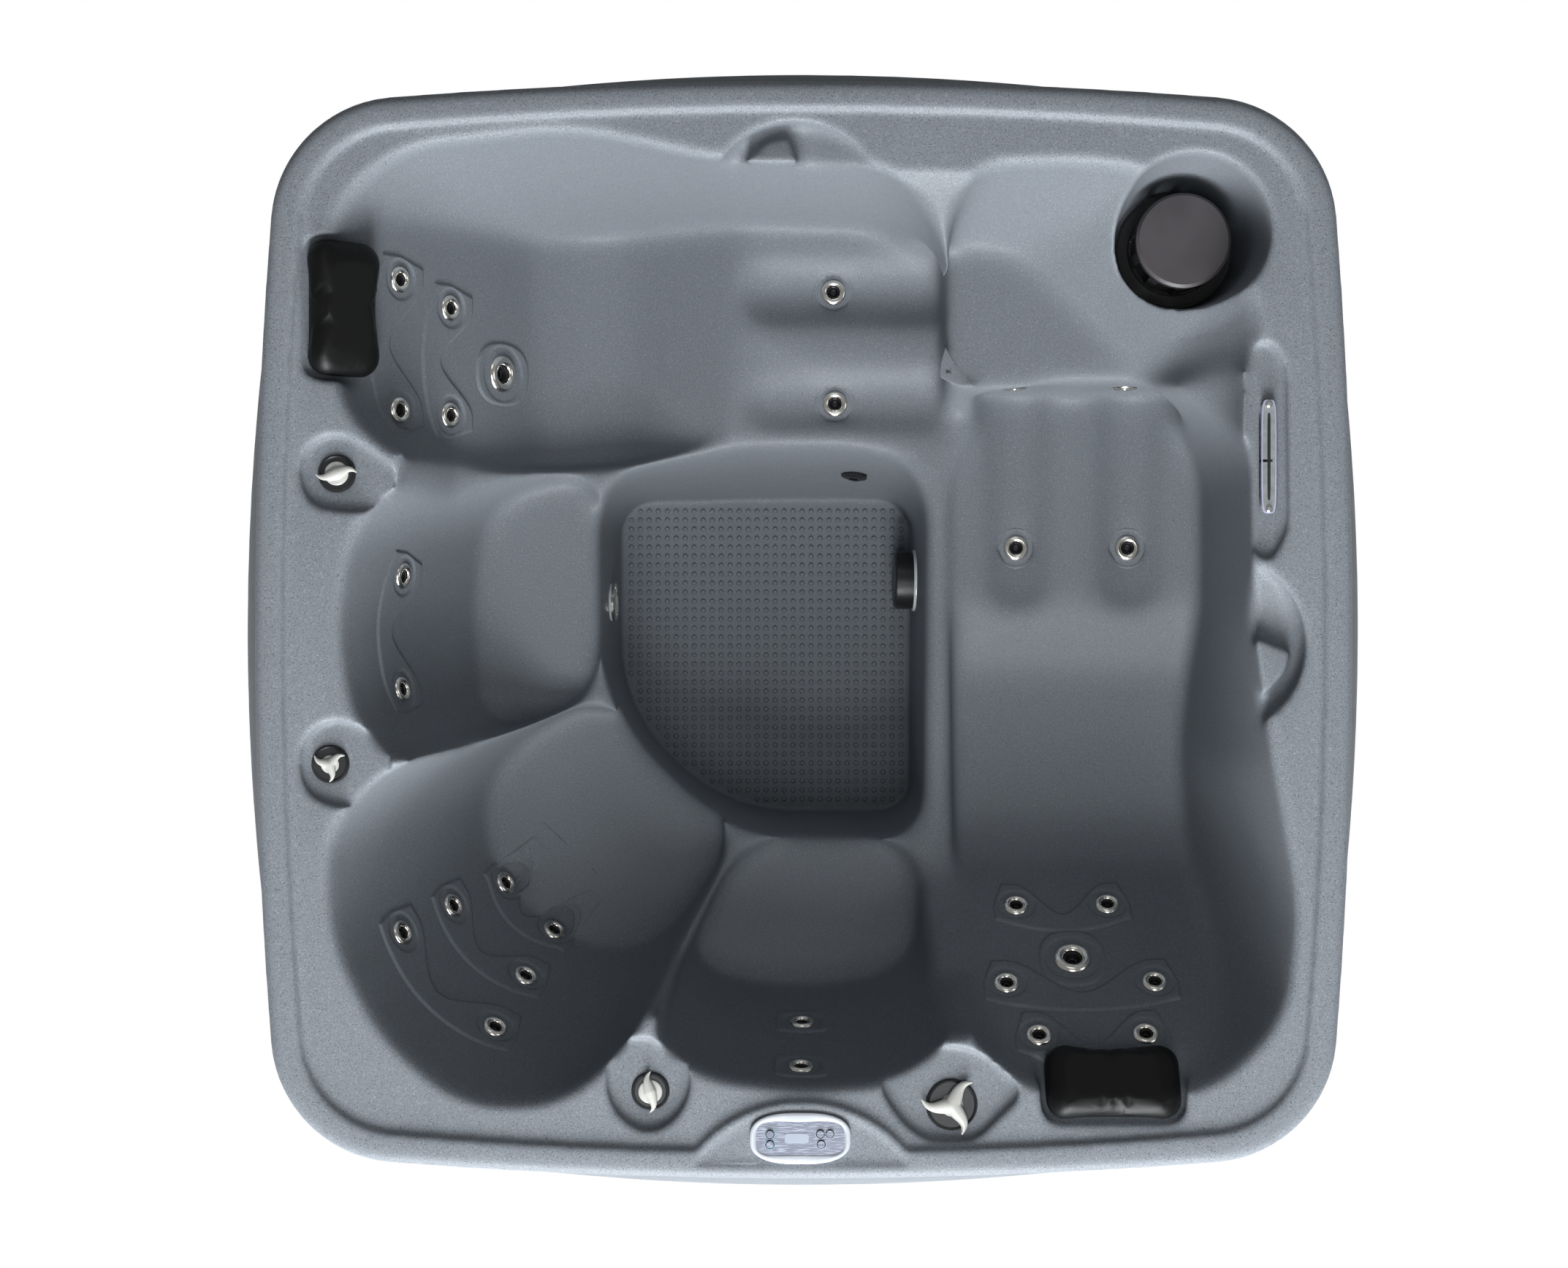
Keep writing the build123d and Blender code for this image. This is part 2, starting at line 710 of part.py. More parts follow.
# Holes through the shell, and the flat beds that the jets sit on
with BuildPart() as holes:
    for spot, scale in jet_spots:
        with BuildSketch(spot):
            Circle(jet_bed_radius * scale)
        extrude(amount=jet_bed_radius)
        with BuildSketch(spot.offset(-jet_bed_radius)):
            Circle(jet_barrel_radius * scale + jet_hole_clearance)
        extrude(amount=2 * jet_bed_radius)
    for spot, bed_radius, bore_radius in well_fittings:
        with BuildSketch(spot):
            Circle(bed_radius + wall_gap)
        extrude(amount=overrun)
        with BuildSketch(spot.offset(-overrun)):
            Circle(bore_radius + jet_hole_clearance)
        extrude(amount=2 * overrun)
    for spot, radius in zip(knob_spots, collar_radii):
        with BuildSketch(spot.offset(-overrun)):
            Circle(radius * valve_neck_share + jet_hole_clearance)
        extrude(amount=2 * overrun)
    with BuildSketch(filter_spot.offset(-overrun)):
        Circle(canister_mouth_radius + canister_wall + jet_hole_clearance)
    extrude(amount=2 * overrun)
    with BuildSketch(fall_spot.offset(-overrun)):
        SlotOverall(fall_body_length + 2 * jet_hole_clearance, fall_body_width + 2 * jet_hole_clearance,
                    rotation=90)
    extrude(amount=2 * overrun)
    with BuildSketch(panel_spot.offset(-2 * overrun)):
        RectangleRounded(panel_tub_length + 2 * jet_hole_clearance, panel_tub_width + 2 * jet_hole_clearance,
                         panel_tub_width / 4)
    extrude(amount=2 * overrun)
    for seat in pillow_seats:
        with BuildSketch(seat.offset(-overrun)):
            with GridLocations(pillow_pin_spacing, 0, 2, 1):
                Circle(pillow_pin_radius + pillow_pin_clearance)
        extrude(amount=2 * overrun)

# Outside of the seats and wells, up to the deck
with BuildPart() as below_deck:
    add(walls)
    split(bisect_by=Plane.XY.offset(deck_z), keep=Keep.BOTTOM)

# One-piece moulded shell: rim band, deck, seats, loungers and footwell
with BuildPart() as shell:
    with BuildSketch(Plane.XY.offset(tub_height - rim_lip)):
        add(bowed(rim_inset, rim_bow, rim_corner))
    extrude(amount=rim_lip)
    fillet(shell.edges().group_by(Axis.Z)[-1], rim_edge_radius)
    with BuildSketch(Plane.XY.offset(deck_z)):
        add(bowed(rim_inset + rim_band, rim_bow, rim_corner - rim_band))
        with Locations(at(mound_place_share)):
            Circle(mound_radius, mode=Mode.SUBTRACT)
    extrude(amount=rim_step + overrun, mode=Mode.SUBTRACT)
    with BuildSketch(Plane.XY.offset(panel_bed_z)):
        with Locations(at(mound_place_share)):
            Circle(panel_bed_radius)
        with Locations((0, -panel_bed_cut_share * half_y)):
            Rectangle(tub_width, tub_depth, align=(Align.CENTER, Align.MIN), mode=Mode.INTERSECT)
    extrude(amount=panel_bed_depth + overrun, mode=Mode.SUBTRACT)
    with BuildSketch(Plane.XY.offset(tub_height - rim_lip - overrun)):
        add(bowed(rim_inset + rim_lip_wall, rim_bow, rim_corner - rim_lip_wall))
    extrude(amount=rim_lip + overrun - rim_step - shell_wall, mode=Mode.SUBTRACT)
    add(below_deck.part)
    add(water, mode=Mode.SUBTRACT)
    add(holes.part, mode=Mode.SUBTRACT)
finish(shell, "shell")

# Bowed cabinet round the tub, as a solid from the base plate up to the deck
def cabinet(inset):
    with BuildPart() as body:
        rows = [
            (base_plate + seat_gap, skirt_foot_inset, skirt_foot_bow),
            (skirt_low_height, skirt_low_inset, (skirt_foot_bow + skirt_bulge_bow) / 2),
            (skirt_bulge_height, skirt_bulge_inset, skirt_bulge_bow),
            (skirt_top_height, skirt_top_inset, rim_bow),
        ]
        for height, row_inset, bow in rows:
            with BuildSketch(Plane.XY.offset(height)):
                add(bowed(row_inset + inset, bow, skirt_corner - inset))
        loft()
        extrude(body.faces().sort_by(Axis.Z)[-1], amount=deck_under - seat_gap - skirt_top_height)
    return body.part


# Block through the front of the skirt, as wide and high as the door plus a margin
def door_block(margin):
    with BuildPart() as block:
        with BuildSketch(Plane.XZ.offset(half_y / 2)):
            with Locations((0, door_bottom + door_height / 2)):
                RectangleRounded(door_width + 2 * margin, door_height + 2 * margin, door_corner + margin)
        extrude(amount=half_y)
    return block.part


outside = cabinet(0)
inside = cabinet(skirt_wall)
door_back = cabinet(skirt_wall - seat_gap)
frame_back = cabinet(skirt_wall + door_frame_wall)


# Plane on the outside of the skirt's front, at a share of its half width and a height
def front_spot(share, height):
    return wall_spot(outside, (share * half_x, 0, height), (0, -1, 0)).rotated((180, 0, 0))


drain_spot = front_spot(drain_share, drain_height).offset(-flat_depth)
gland_spot = front_spot(gland_share, gland_height).offset(-flat_depth)
screw_spots = [front_spot(share, skirt_screw_height).offset(-flat_depth) for share in skirt_screw_shares]
fitting_radii = [drain_pipe_radius, gland_radius] + [screw_shank_radius] * len(screw_spots)
flat_radii = [drain_flange_radius, gland_radius + skirt_wall] + [screw_head_radius] * len(screw_spots)
front_fittings = list(zip([drain_spot, gland_spot] + screw_spots, fitting_radii, flat_radii))
grip_height = door_bottom + door_height - door_grip_drop

# Skirt round all four sides, with a framed opening for the door and holes for the fittings
with BuildPart() as skirt:
    add(outside)
    add(inside, mode=Mode.SUBTRACT)
    add(door_block(door_gap), mode=Mode.SUBTRACT)
    add((inside - frame_back) & (door_block(door_frame) - door_block(-door_frame)))
    for spot, radius, flat_radius in front_fittings:
        with BuildSketch(spot.offset(-overrun)):
            Circle(radius + jet_hole_clearance)
        extrude(amount=2 * overrun, mode=Mode.SUBTRACT)
        with BuildSketch(spot):
            Circle(flat_radius + jet_hole_clearance)
        extrude(amount=overrun, mode=Mode.SUBTRACT)
finish(skirt, "skirt")

# Lift-off door that follows the skirt, with a slot for the fingers
with BuildPart() as access_door:
    add((outside - door_back) & door_block(0))
    with BuildSketch(Plane.XZ.offset(half_y / 2)):
        with Locations((0, grip_height)):
            SlotOverall(door_grip_length, door_grip_width)
    extrude(amount=half_y, mode=Mode.SUBTRACT)
finish(access_door, "access_door")

# Base pan with an upstand inside the skirt and a ribbed plinth under the footwell
with BuildPart() as base_pan:
    with BuildSketch():
        add(bowed(skirt_foot_inset, skirt_foot_bow, skirt_corner))
    extrude(amount=base_plate)
    with BuildSketch(Plane.XY.offset(base_plate)):
        upstand_inset = skirt_foot_inset + skirt_wall + seat_gap
        add(bowed(upstand_inset, skirt_foot_bow, skirt_corner - skirt_wall))
        add(bowed(upstand_inset + base_upstand_wall, skirt_foot_bow, skirt_corner - skirt_wall),
            mode=Mode.SUBTRACT)
    extrude(amount=base_upstand)
    with BuildSketch(Plane.XY.offset(base_plate)):
        with Locations(at(plinth_share)):
            RectangleRounded(plinth_width, plinth_depth, 2 * plinth_wall)
            cell_width = (plinth_width - 4 * plinth_wall) / 3
            cell_depth = (plinth_depth - 4 * plinth_wall) / 3
            with GridLocations(cell_width + plinth_wall, cell_depth + plinth_wall, 3, 3):
                Rectangle(cell_width, cell_depth, mode=Mode.SUBTRACT)
    extrude(amount=well_floor - shell_wall - seat_gap - base_plate)
    for spot in (drain_spot, gland_spot):
        with BuildSketch(spot.offset(-2 * overrun)):
            Circle(drain_flange_radius)
        extrude(amount=4 * overrun, mode=Mode.SUBTRACT)
    for spot in screw_spots:
        with BuildSketch(spot.offset(-2 * overrun)):
            Circle(screw_shank_radius + seat_gap)
        extrude(amount=2 * overrun, mode=Mode.SUBTRACT)
finish(base_pan, "base_pan")


# Outline of a jet's fixed body: flange on the wall, barrel through it and body behind
def jet_body_outline(scale):
    back = shell_wall + seat_gap + wall_gap
    return [
        (jet_bore_radius * scale, jet_flange),
        (jet_flange_radius * scale, jet_flange),
        (jet_flange_radius * scale, seat_gap),
        (jet_barrel_radius * scale, seat_gap),
        (jet_barrel_radius * scale, -back),
        (jet_body_radius * scale, -back),
        (jet_body_radius * scale, -jet_body_depth),
        (jet_bore_radius * scale, -jet_body_depth),
    ]


# Outline of a jet's turning face: dished ring, nozzle and stem
def jet_face_outline(scale):
    foot = jet_flange + seat_gap
    return [
        (jet_nozzle_radius * scale, foot + jet_face_height / 4),
        (jet_nozzle_radius * scale, -jet_stem_depth),
        (jet_bore_radius * scale - jet_stem_clearance, -jet_stem_depth),
        (jet_bore_radius * scale - jet_stem_clearance, foot),
        (jet_face_radius * scale, foot),
        (jet_face_radius * scale * corner_share, foot + jet_face_height),
    ]


with BuildPart() as jet_bodies:
    add([turned(spot, jet_body_outline(scale)) for spot, scale in jet_spots])
finish(jet_bodies, "jet_bodies")

jet_names = [
    "lounge_a_back_jet_1", "lounge_a_back_jet_2", "lounge_a_back_jet_3", "lounge_a_back_jet_4",
    "lounge_a_calf_jet_1", "lounge_a_calf_jet_2", "lounge_b_calf_jet_1", "lounge_b_calf_jet_2",
    "seat_c_jet_1", "seat_c_jet_2",
    "seat_d_jet_1", "seat_d_jet_2", "seat_d_jet_3", "seat_d_jet_4", "seat_d_jet_5", "seat_d_jet_6",
    "seat_e_jet_1", "seat_e_jet_2",
    "lounge_b_back_jet_1", "lounge_b_back_jet_2", "lounge_b_back_jet_3", "lounge_b_back_jet_4",
    "lounge_b_back_jet_5", "lounge_b_back_jet_6",
    "lounge_b_foot_jet_1", "lounge_b_foot_jet_2",
    "lounge_a_big_jet", "lounge_b_big_jet",
]
for name, (spot, scale) in zip(jet_names, jet_spots):
    with BuildPart() as jet:
        add(turned(spot, jet_face_outline(scale)))
    finish(jet, name)


# Outline of a valve: collar on the pad, neck through the shell and body below
def valve_outline(radius):
    neck = radius * valve_neck_share
    bore = radius * valve_stem_share + valve_stem_clearance
    back = shell_wall + seat_gap
    return [
        (bore, collar_height - collar_dish),
        (radius - collar_height, collar_height - collar_dish),
        (radius - collar_height / 2, collar_height),
        (radius, seat_gap),
        (neck, seat_gap),
        (neck, -back),
        (radius * corner_share, -back),
        (radius * corner_share, -valve_depth),
        (0, -valve_depth),
        (0, -knob_stem_depth - seat_gap),
        (bore, -knob_stem_depth - seat_gap),
    ]


with BuildPart() as valve_bodies:
    add([turned(spot, valve_outline(radius)) for spot, radius in zip(knob_spots, collar_radii)])
finish(valve_bodies, "valve_bodies")

# Turning knobs: a coned disc on a stem, with curved wings across it
knob_names = ["air_knob_left", "waterfall_knob", "air_knob_front", "diverter_knob"]
for name, spot, radius, wings in zip(knob_names, knob_spots, collar_radii, knob_wings):
    hub = radius * valve_stem_share
    disc = radius * knob_disc_share
    root = radius * wing_root_share
    foot = collar_height - collar_dish + seat_gap
    tip = radius * (large_wing_share if radius == large_collar_radius else knob_wing_share)
    with BuildPart() as knob:
        add(turned(spot, [
            (0, -knob_stem_depth), (hub, -knob_stem_depth), (hub, foot), (disc, foot),
            (disc, foot + knob_disc_height), (0, foot + 2 * knob_disc_height),
        ]))
        with BuildSketch(mode=Mode.PRIVATE) as wing:
            with BuildLine():
                ThreePointArc((0, root), (tip * wing_bow_share, root), (tip, -root / 2))
                ThreePointArc((tip, -root / 2), (tip * wing_bow_share, 0), (0, -root))
                Line((0, -root), (0, root))
            make_face()
        with BuildSketch(spot.offset(collar_height + seat_gap)):
            with PolarLocations(0, wings):
                add(wing.sketch)
        extrude(amount=knob_wing_height)
    finish(knob, name)

# Panel housing: bezel on the mound and a tray through it, with button holes and a screen recess
with BuildPart() as panel_housing:
    with BuildSketch(panel_spot.offset(seat_gap)):
        RectangleRounded(panel_length, panel_width, panel_corner)
    extrude(amount=panel_height)
    fillet(panel_housing.edges().group_by(Axis.Z)[-1], panel_face_drop)
    with BuildSketch(panel_spot.offset(seat_gap + panel_height)):
        RectangleRounded(panel_length - 2 * panel_bezel, panel_width - 2 * panel_bezel, panel_corner - panel_bezel)
    extrude(amount=-panel_face_drop, mode=Mode.SUBTRACT)
    with BuildSketch(panel_spot.offset(seat_gap)):
        RectangleRounded(panel_tub_length, panel_tub_width, panel_tub_width / 4 - jet_hole_clearance)
    extrude(amount=-panel_tub_depth)
    with BuildSketch(panel_spot.offset(seat_gap - panel_tub_depth + panel_tub_wall)):
        RectangleRounded(panel_tub_length - 2 * panel_tub_wall, panel_tub_width - 2 * panel_tub_wall,
                         panel_tub_width / 4 - panel_tub_wall)
    extrude(amount=panel_tub_depth - panel_tub_wall, mode=Mode.SUBTRACT)
    panel_face = panel_spot.offset(seat_gap + panel_height - panel_face_drop)
    with BuildSketch(panel_face):
        with Locations(*button_places):
            Circle(button_radius + button_clearance)
    extrude(amount=-panel_height, mode=Mode.SUBTRACT)
    with BuildSketch(panel_face):
        with Locations((screen_shift, 0)):
            RectangleRounded(screen_length, screen_width, screen_recess)
    extrude(amount=-screen_recess, mode=Mode.SUBTRACT)
finish(panel_housing, "panel_housing")

# Push buttons, each with a flange that keeps it in under the face
button_spots = [Plane(panel_spot.from_local_coords(Vector(*place, 0))) for place in button_places]
for number, spot in enumerate(button_spots, 1):
    flange_top = -button_travel - seat_gap
    with BuildPart() as button:
        add(turned(spot, [
            (0, flange_top - button_flange), (button_radius + button_skirt, flange_top - button_flange),
            (button_radius + button_skirt, flange_top), (button_radius, flange_top),
            (button_radius, panel_height + button_skirt), (button_radius * corner_share, panel_height + 2 * button_skirt),
            (0, panel_height + 2 * button_skirt),
        ]))
    finish(button, f"panel_button_{number}")

# Clear slotted body of the waterfall, set into its recess
with BuildPart() as waterfall_fitting:
    with BuildSketch(fall_spot.offset(seat_gap)):
        SlotOverall(fall_length, fall_width, rotation=90)
    extrude(amount=fall_height)
    fillet(waterfall_fitting.edges().group_by(Axis.Z)[-1], fall_height / 4)
    with BuildSketch(fall_spot.offset(seat_gap)):
        SlotOverall(fall_body_length, fall_body_width, rotation=90)
    extrude(amount=-fall_body_depth)
    with BuildSketch(Plane(fall_spot.origin, z_dir=(-1, 0, 0)).offset(-fall_width / 4)):
        with Locations((0, fall_height / 2)):
            Rectangle(fall_slot_length, fall_slot_height)
    extrude(amount=fall_width, mode=Mode.SUBTRACT)
    with BuildSketch(fall_spot.offset(fall_height + overrun)):
        with GridLocations(0, fall_screw_spacing, 1, 2):
            Circle(screw_shank_radius + seat_gap)
    extrude(amount=-2 * overrun - fall_height, mode=Mode.SUBTRACT)
finish(waterfall_fitting, "waterfall_fitting")

# Screws of the waterfall and of the skirt's foot
fall_screws = [Plane(fall_spot.from_local_coords(Vector(0, side * fall_screw_spacing / 2, fall_height + seat_gap)))
               for side in (1, -1)]
with BuildPart() as screws:
    for spot in fall_screws + screw_spots:
        add(turned(spot, [
            (0, seat_gap), (0, seat_gap + screw_head), (screw_head_radius / 2, seat_gap + screw_head),
            (screw_head_radius, seat_gap + screw_head / 3), (screw_head_radius, seat_gap),
        ]))
        with BuildSketch(spot.offset(seat_gap)):
            Circle(screw_shank_radius)
        extrude(amount=-screw_length)
finish(screws, "screws")

# Canister under the filter bowl, with its flange in the bowl
with BuildPart() as filter_housing:
    mouth_outer = canister_mouth_radius + canister_wall
    shoulder = -shell_wall - seat_gap
    bottom = canister_bottom - bowl_floor
    add(turned(filter_spot, [
        (canister_mouth_radius, housing_flange), (housing_flange_radius, housing_flange),
        (housing_flange_radius, seat_gap), (mouth_outer, seat_gap), (mouth_outer, shoulder),
        (canister_radius, shoulder), (canister_radius, bottom), (pipe_radius, bottom),
        (pipe_radius, bottom + canister_wall), (canister_radius - canister_wall, bottom + canister_wall),
        (canister_radius - canister_wall, shoulder - canister_wall),
        (canister_mouth_radius, shoulder - canister_wall),
    ]))
finish(filter_housing, "filter_housing")

# Lift-out basket: flange in the bowl and a windowed tower above it
with BuildPart() as filter_basket:
    tower_foot = housing_flange + seat_gap
    tower_height = tower_top - bowl_floor
    add(turned(filter_spot, [
        (cartridge_radius - cartridge_cap, tower_foot), (basket_flange_radius, tower_foot),
        (basket_flange_radius, tower_foot + basket_flange), (tower_radius, tower_foot + basket_flange),
        (tower_radius, tower_height), (tower_radius - tower_wall, tower_height),
        (tower_radius - tower_wall, tower_foot + basket_flange),
        (cartridge_radius - cartridge_cap, tower_foot + basket_flange),
    ]))
    middle = filter_spot.offset((tower_foot + basket_flange + tower_height) / 2)
    for number in range(tower_windows):
        turn = middle.rotated((0, 0, 360 / tower_windows * number))
        with BuildSketch(Plane(turn.origin, x_dir=turn.y_dir, z_dir=turn.x_dir)):
            RectangleRounded(tower_window_width, tower_window_height, tower_wall)
        extrude(amount=tower_radius + overrun, mode=Mode.SUBTRACT)
finish(filter_basket, "filter_basket")

# Cartridge that hangs under the basket
with BuildPart() as filter_cartridge:
    low = cartridge_bottom - bowl_floor
    high = cartridge_top - bowl_floor
    waist = cartridge_radius - tower_wall
    add(turned(filter_spot, [
        (cartridge_bore, low), (cartridge_radius, low), (cartridge_radius, low + cartridge_cap),
        (waist, low + cartridge_cap), (waist, high - cartridge_cap), (cartridge_radius, high - cartridge_cap),
        (cartridge_radius, high), (cartridge_radius - cartridge_cap, high),
        (cartridge_radius - cartridge_cap, tower_foot - seat_gap),
        (cartridge_bore, tower_foot - seat_gap),
    ]))
finish(filter_cartridge, "filter_cartridge")

# Domed lid on top of the tower, with a spigot inside it
with BuildPart() as filter_lid:
    lid_foot = tower_height + seat_gap
    spigot = tower_radius - tower_wall - seat_gap
    add(turned(filter_spot, [
        (0, lid_foot), (spigot - tower_wall, lid_foot), (spigot - tower_wall, lid_foot - lid_spigot_depth),
        (spigot, lid_foot - lid_spigot_depth), (spigot, lid_foot), (lid_radius, lid_foot),
        (lid_radius, lid_foot + lid_thickness - lid_edge),
        (lid_radius - lid_edge, lid_foot + lid_thickness), (0, lid_foot + lid_thickness),
    ]))
finish(filter_lid, "filter_lid")

# Crowned pillows with drawn-in sides, each on two pins
for name, seat in zip(("pillow_a", "pillow_b"), pillow_seats):
    with BuildPart() as pillow:
        for height_share, size_share in pillow_crown_shares:
            with BuildSketch(seat.offset(seat_gap + height_share * pillow_thickness)):
                add(pillow_outline(0, size_share))
        loft()
        with BuildSketch(seat.offset(seat_gap)):
            with GridLocations(pillow_pin_spacing, 0, 2, 1):
                Circle(pillow_pin_radius)
        extrude(amount=-pillow_pin_length - seat_gap)
    finish(pillow, name)

# Slotted suction cover on its ring, and the small return nozzle
with BuildPart() as footwell_fittings:
    ring_top = seat_gap + suction_ring_thickness
    add(turned(suction_spot, [
        (suction_neck_radius - suction_wall, -suction_neck_length), (suction_neck_radius, -suction_neck_length),
        (suction_neck_radius, seat_gap), (suction_ring, seat_gap), (suction_ring, ring_top),
        (suction_radius, ring_top), (suction_radius, suction_length - suction_wall),
        (suction_radius - suction_wall, suction_length), (0, suction_length),
        (0, suction_length - suction_wall), (suction_radius - 2 * suction_wall, suction_length - suction_wall),
        (suction_radius - 2 * suction_wall, ring_top), (suction_neck_radius - suction_wall, ring_top),
    ]))
    slot_middle = suction_spot.offset((ring_top + suction_length - suction_wall) / 2)
    for number in range(suction_slots):
        turn = slot_middle.rotated((0, 0, 360 / suction_slots * number))
        with BuildSketch(Plane(turn.origin, x_dir=turn.z_dir, z_dir=turn.x_dir)):
            Rectangle(suction_slot_length, suction_slot_width)
        extrude(amount=suction_radius + overrun, mode=Mode.SUBTRACT)
    add(turned(return_spot, [
        (return_bore, -return_neck_length), (return_neck_radius, -return_neck_length),
        (return_neck_radius, seat_gap), (return_radius, seat_gap), (return_radius, return_thickness / 2),
        (return_neck_radius, return_thickness), (return_bore, return_thickness),
    ]))
finish(footwell_fittings, "footwell_fittings")

# Round light with a domed lens in a rim
with BuildPart() as footwell_light:
    add(turned(light_spot, [
        (0, -light_neck_length), (light_neck_radius, -light_neck_length), (light_neck_radius, seat_gap),
        (light_radius, seat_gap), (light_radius, light_thickness / 2), (light_lens_radius, light_thickness / 2),
        (light_lens_radius / 2, light_thickness), (0, light_thickness),
    ]))
finish(footwell_light, "footwell_light")

# Pump on the base: motor with a fan cover, volute and two ports, on a foot
pump_x, pump_y = at(pump_share)
pump_axis = Plane((pump_x, pump_y, pump_axis_height), z_dir=(1, 0, 0))
volute_end = motor_length + volute_length
with BuildPart() as pump:
    add(turned(pump_axis, [
        (0, 0), (motor_radius, 0), (motor_radius, motor_fan_cover),
        (motor_radius * corner_share, motor_fan_cover), (motor_radius * corner_share, motor_length),
        (volute_radius, motor_length), (volute_radius, volute_end), (port_radius, volute_end),
        (port_radius, volute_end + port_length), (0, volute_end + port_length),
    ]))
    discharge = Plane((pump_x + motor_length + volute_length / 2, pump_y, pump_axis_height))
    with BuildSketch(discharge):
        Circle(port_radius)
    extrude(amount=volute_radius + port_length)
    with BuildSketch(Plane.XY.offset(base_plate + seat_gap)):
        with Locations((pump_x + motor_length / 2, pump_y)):
            Rectangle(pump_foot_length, pump_foot_width)
    extrude(amount=pump_foot_wall)
    with BuildSketch(Plane.XY.offset(base_plate + seat_gap)):
        with Locations((pump_x + motor_length / 2, pump_y)):
            Rectangle(pump_foot_length - 2 * pump_foot_wall, motor_radius)
    extrude(amount=pump_axis_height - base_plate - motor_radius / 2)
finish(pump, "pump")

# Control box with the heater clipped along its foot
box_x, box_y = at(box_share)
heater_y = box_y - box_width / 2 - heater_gap - heater_radius
with BuildPart() as spa_pack:
    with BuildSketch(Plane.XY.offset(base_plate + seat_gap)):
        with Locations((box_x, box_y)):
            RectangleRounded(box_length, box_width, box_edge)
    extrude(amount=box_height)
    chamfer(spa_pack.edges().group_by(Axis.Z)[-1], box_edge / 2)
    with BuildSketch(Plane.XY.offset(heater_height - clip_width / 2)):
        with Locations((box_x, box_y - box_width / 2)):
            with GridLocations(heater_length / 2, 0, 2, 1):
                Rectangle(clip_width, heater_gap + heater_radius, align=(Align.CENTER, Align.MAX))
    extrude(amount=clip_width)
    with BuildSketch(Plane((box_x - heater_length / 2, heater_y, heater_height), z_dir=(1, 0, 0))):
        Circle(heater_radius)
    extrude(amount=heater_length)
finish(spa_pack, "spa_pack")


# Pipe along straight runs with rounded bends
def pipe(points):
    with BuildPart() as run:
        with BuildLine() as route:
            if len(points) > 2:
                FilletPolyline(*points, radius=pipe_bend)
            else:
                Line(*points)
        with BuildSketch(Plane(route.line @ 0, z_dir=route.line % 0)):
            Circle(pipe_radius)
        sweep()
    return run.part


suction_back = suction_spot.offset(-suction_neck_length - seat_gap).origin
port_x = pump_x + volute_end + port_length + seat_gap
discharge_x = pump_x + motor_length + volute_length / 2
discharge_z = pump_axis_height + volute_radius + port_length + seat_gap
heater_in = Vector(box_x - heater_length / 2 - seat_gap, heater_y, heater_height)
heater_out = Vector(box_x + heater_length / 2 + seat_gap, heater_y, heater_height)
diverter = knob_spots[3].offset(-valve_depth - seat_gap).origin
riser_x = suction_back.X + 2 * pipe_bend
filter_x, filter_y = at(bowl_place_share)
low_run = canister_bottom - 2 * pipe_bend
high_run = diverter.Z - 3 * pipe_bend
with BuildPart() as plumbing:
    add(pipe([suction_back, Vector(riser_x, suction_back.Y, suction_back.Z),
              Vector(riser_x, pump_y, pump_axis_height), Vector(port_x, pump_y, pump_axis_height)]))
    add(pipe([Vector(discharge_x, pump_y, discharge_z), Vector(discharge_x, pump_y, discharge_z + 2 * pipe_bend),
              Vector(discharge_x, heater_y, discharge_z + 2 * pipe_bend), Vector(discharge_x, heater_y, heater_height),
              heater_in]))
    add(pipe([heater_out, Vector(heater_out.X + 2 * pipe_bend, heater_y, heater_height),
              Vector(heater_out.X + 2 * pipe_bend, heater_y, high_run), Vector(diverter.X, diverter.Y, high_run),
              diverter]))
    add(pipe([Vector(filter_x, filter_y, canister_bottom - seat_gap), Vector(filter_x, filter_y, low_run),
              Vector(riser_x, filter_y, low_run), Vector(riser_x, suction_back.Y, low_run),
              Vector(riser_x, suction_back.Y, suction_back.Z)]))
finish(plumbing, "plumbing")

# Drain through the skirt, with a spout that the cap screws onto
with BuildPart() as drain_valve:
    add(turned(drain_spot, [
        (cap_radius / 2, -drain_pipe_length), (drain_pipe_radius, -drain_pipe_length),
        (drain_pipe_radius, seat_gap), (drain_flange_radius, seat_gap), (drain_flange_radius, drain_flange),
        (drain_pipe_radius, drain_flange), (drain_pipe_radius, drain_flange + drain_spout),
        (cap_radius / 2, drain_flange + drain_spout),
    ]))
finish(drain_valve, "drain_valve")
with BuildPart() as drain_cap:
    cap_foot = drain_flange + seat_gap
    cap_bore = drain_pipe_radius + cap_clearance
    add(turned(drain_spot, [
        (cap_bore, cap_foot), (cap_radius, cap_foot), (cap_radius, cap_foot + cap_length - cap_wall / 2),
        (cap_radius - cap_wall / 2, cap_foot + cap_length), (0, cap_foot + cap_length),
        (0, cap_foot + cap_length - cap_wall), (cap_bore, cap_foot + cap_length - cap_wall),
    ]))
finish(drain_cap, "drain_cap")

# Cable gland in the skirt
with BuildPart() as cable_gland:
    add(turned(gland_spot, [
        (gland_bore, -gland_nut - skirt_wall), (gland_radius, -gland_nut - skirt_wall),
        (gland_radius, seat_gap), (gland_radius + skirt_wall, seat_gap),
        (gland_radius + skirt_wall, gland_nut), (gland_radius, gland_nut),
        (gland_bore + screw_head, gland_nut + gland_dome), (gland_bore, gland_nut + gland_dome),
    ]))
finish(cable_gland, "cable_gland")
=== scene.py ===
import json
import math

import bmesh
import bpy
from mathutils import Matrix, Vector
from mathutils.bvhtree import BVHTree


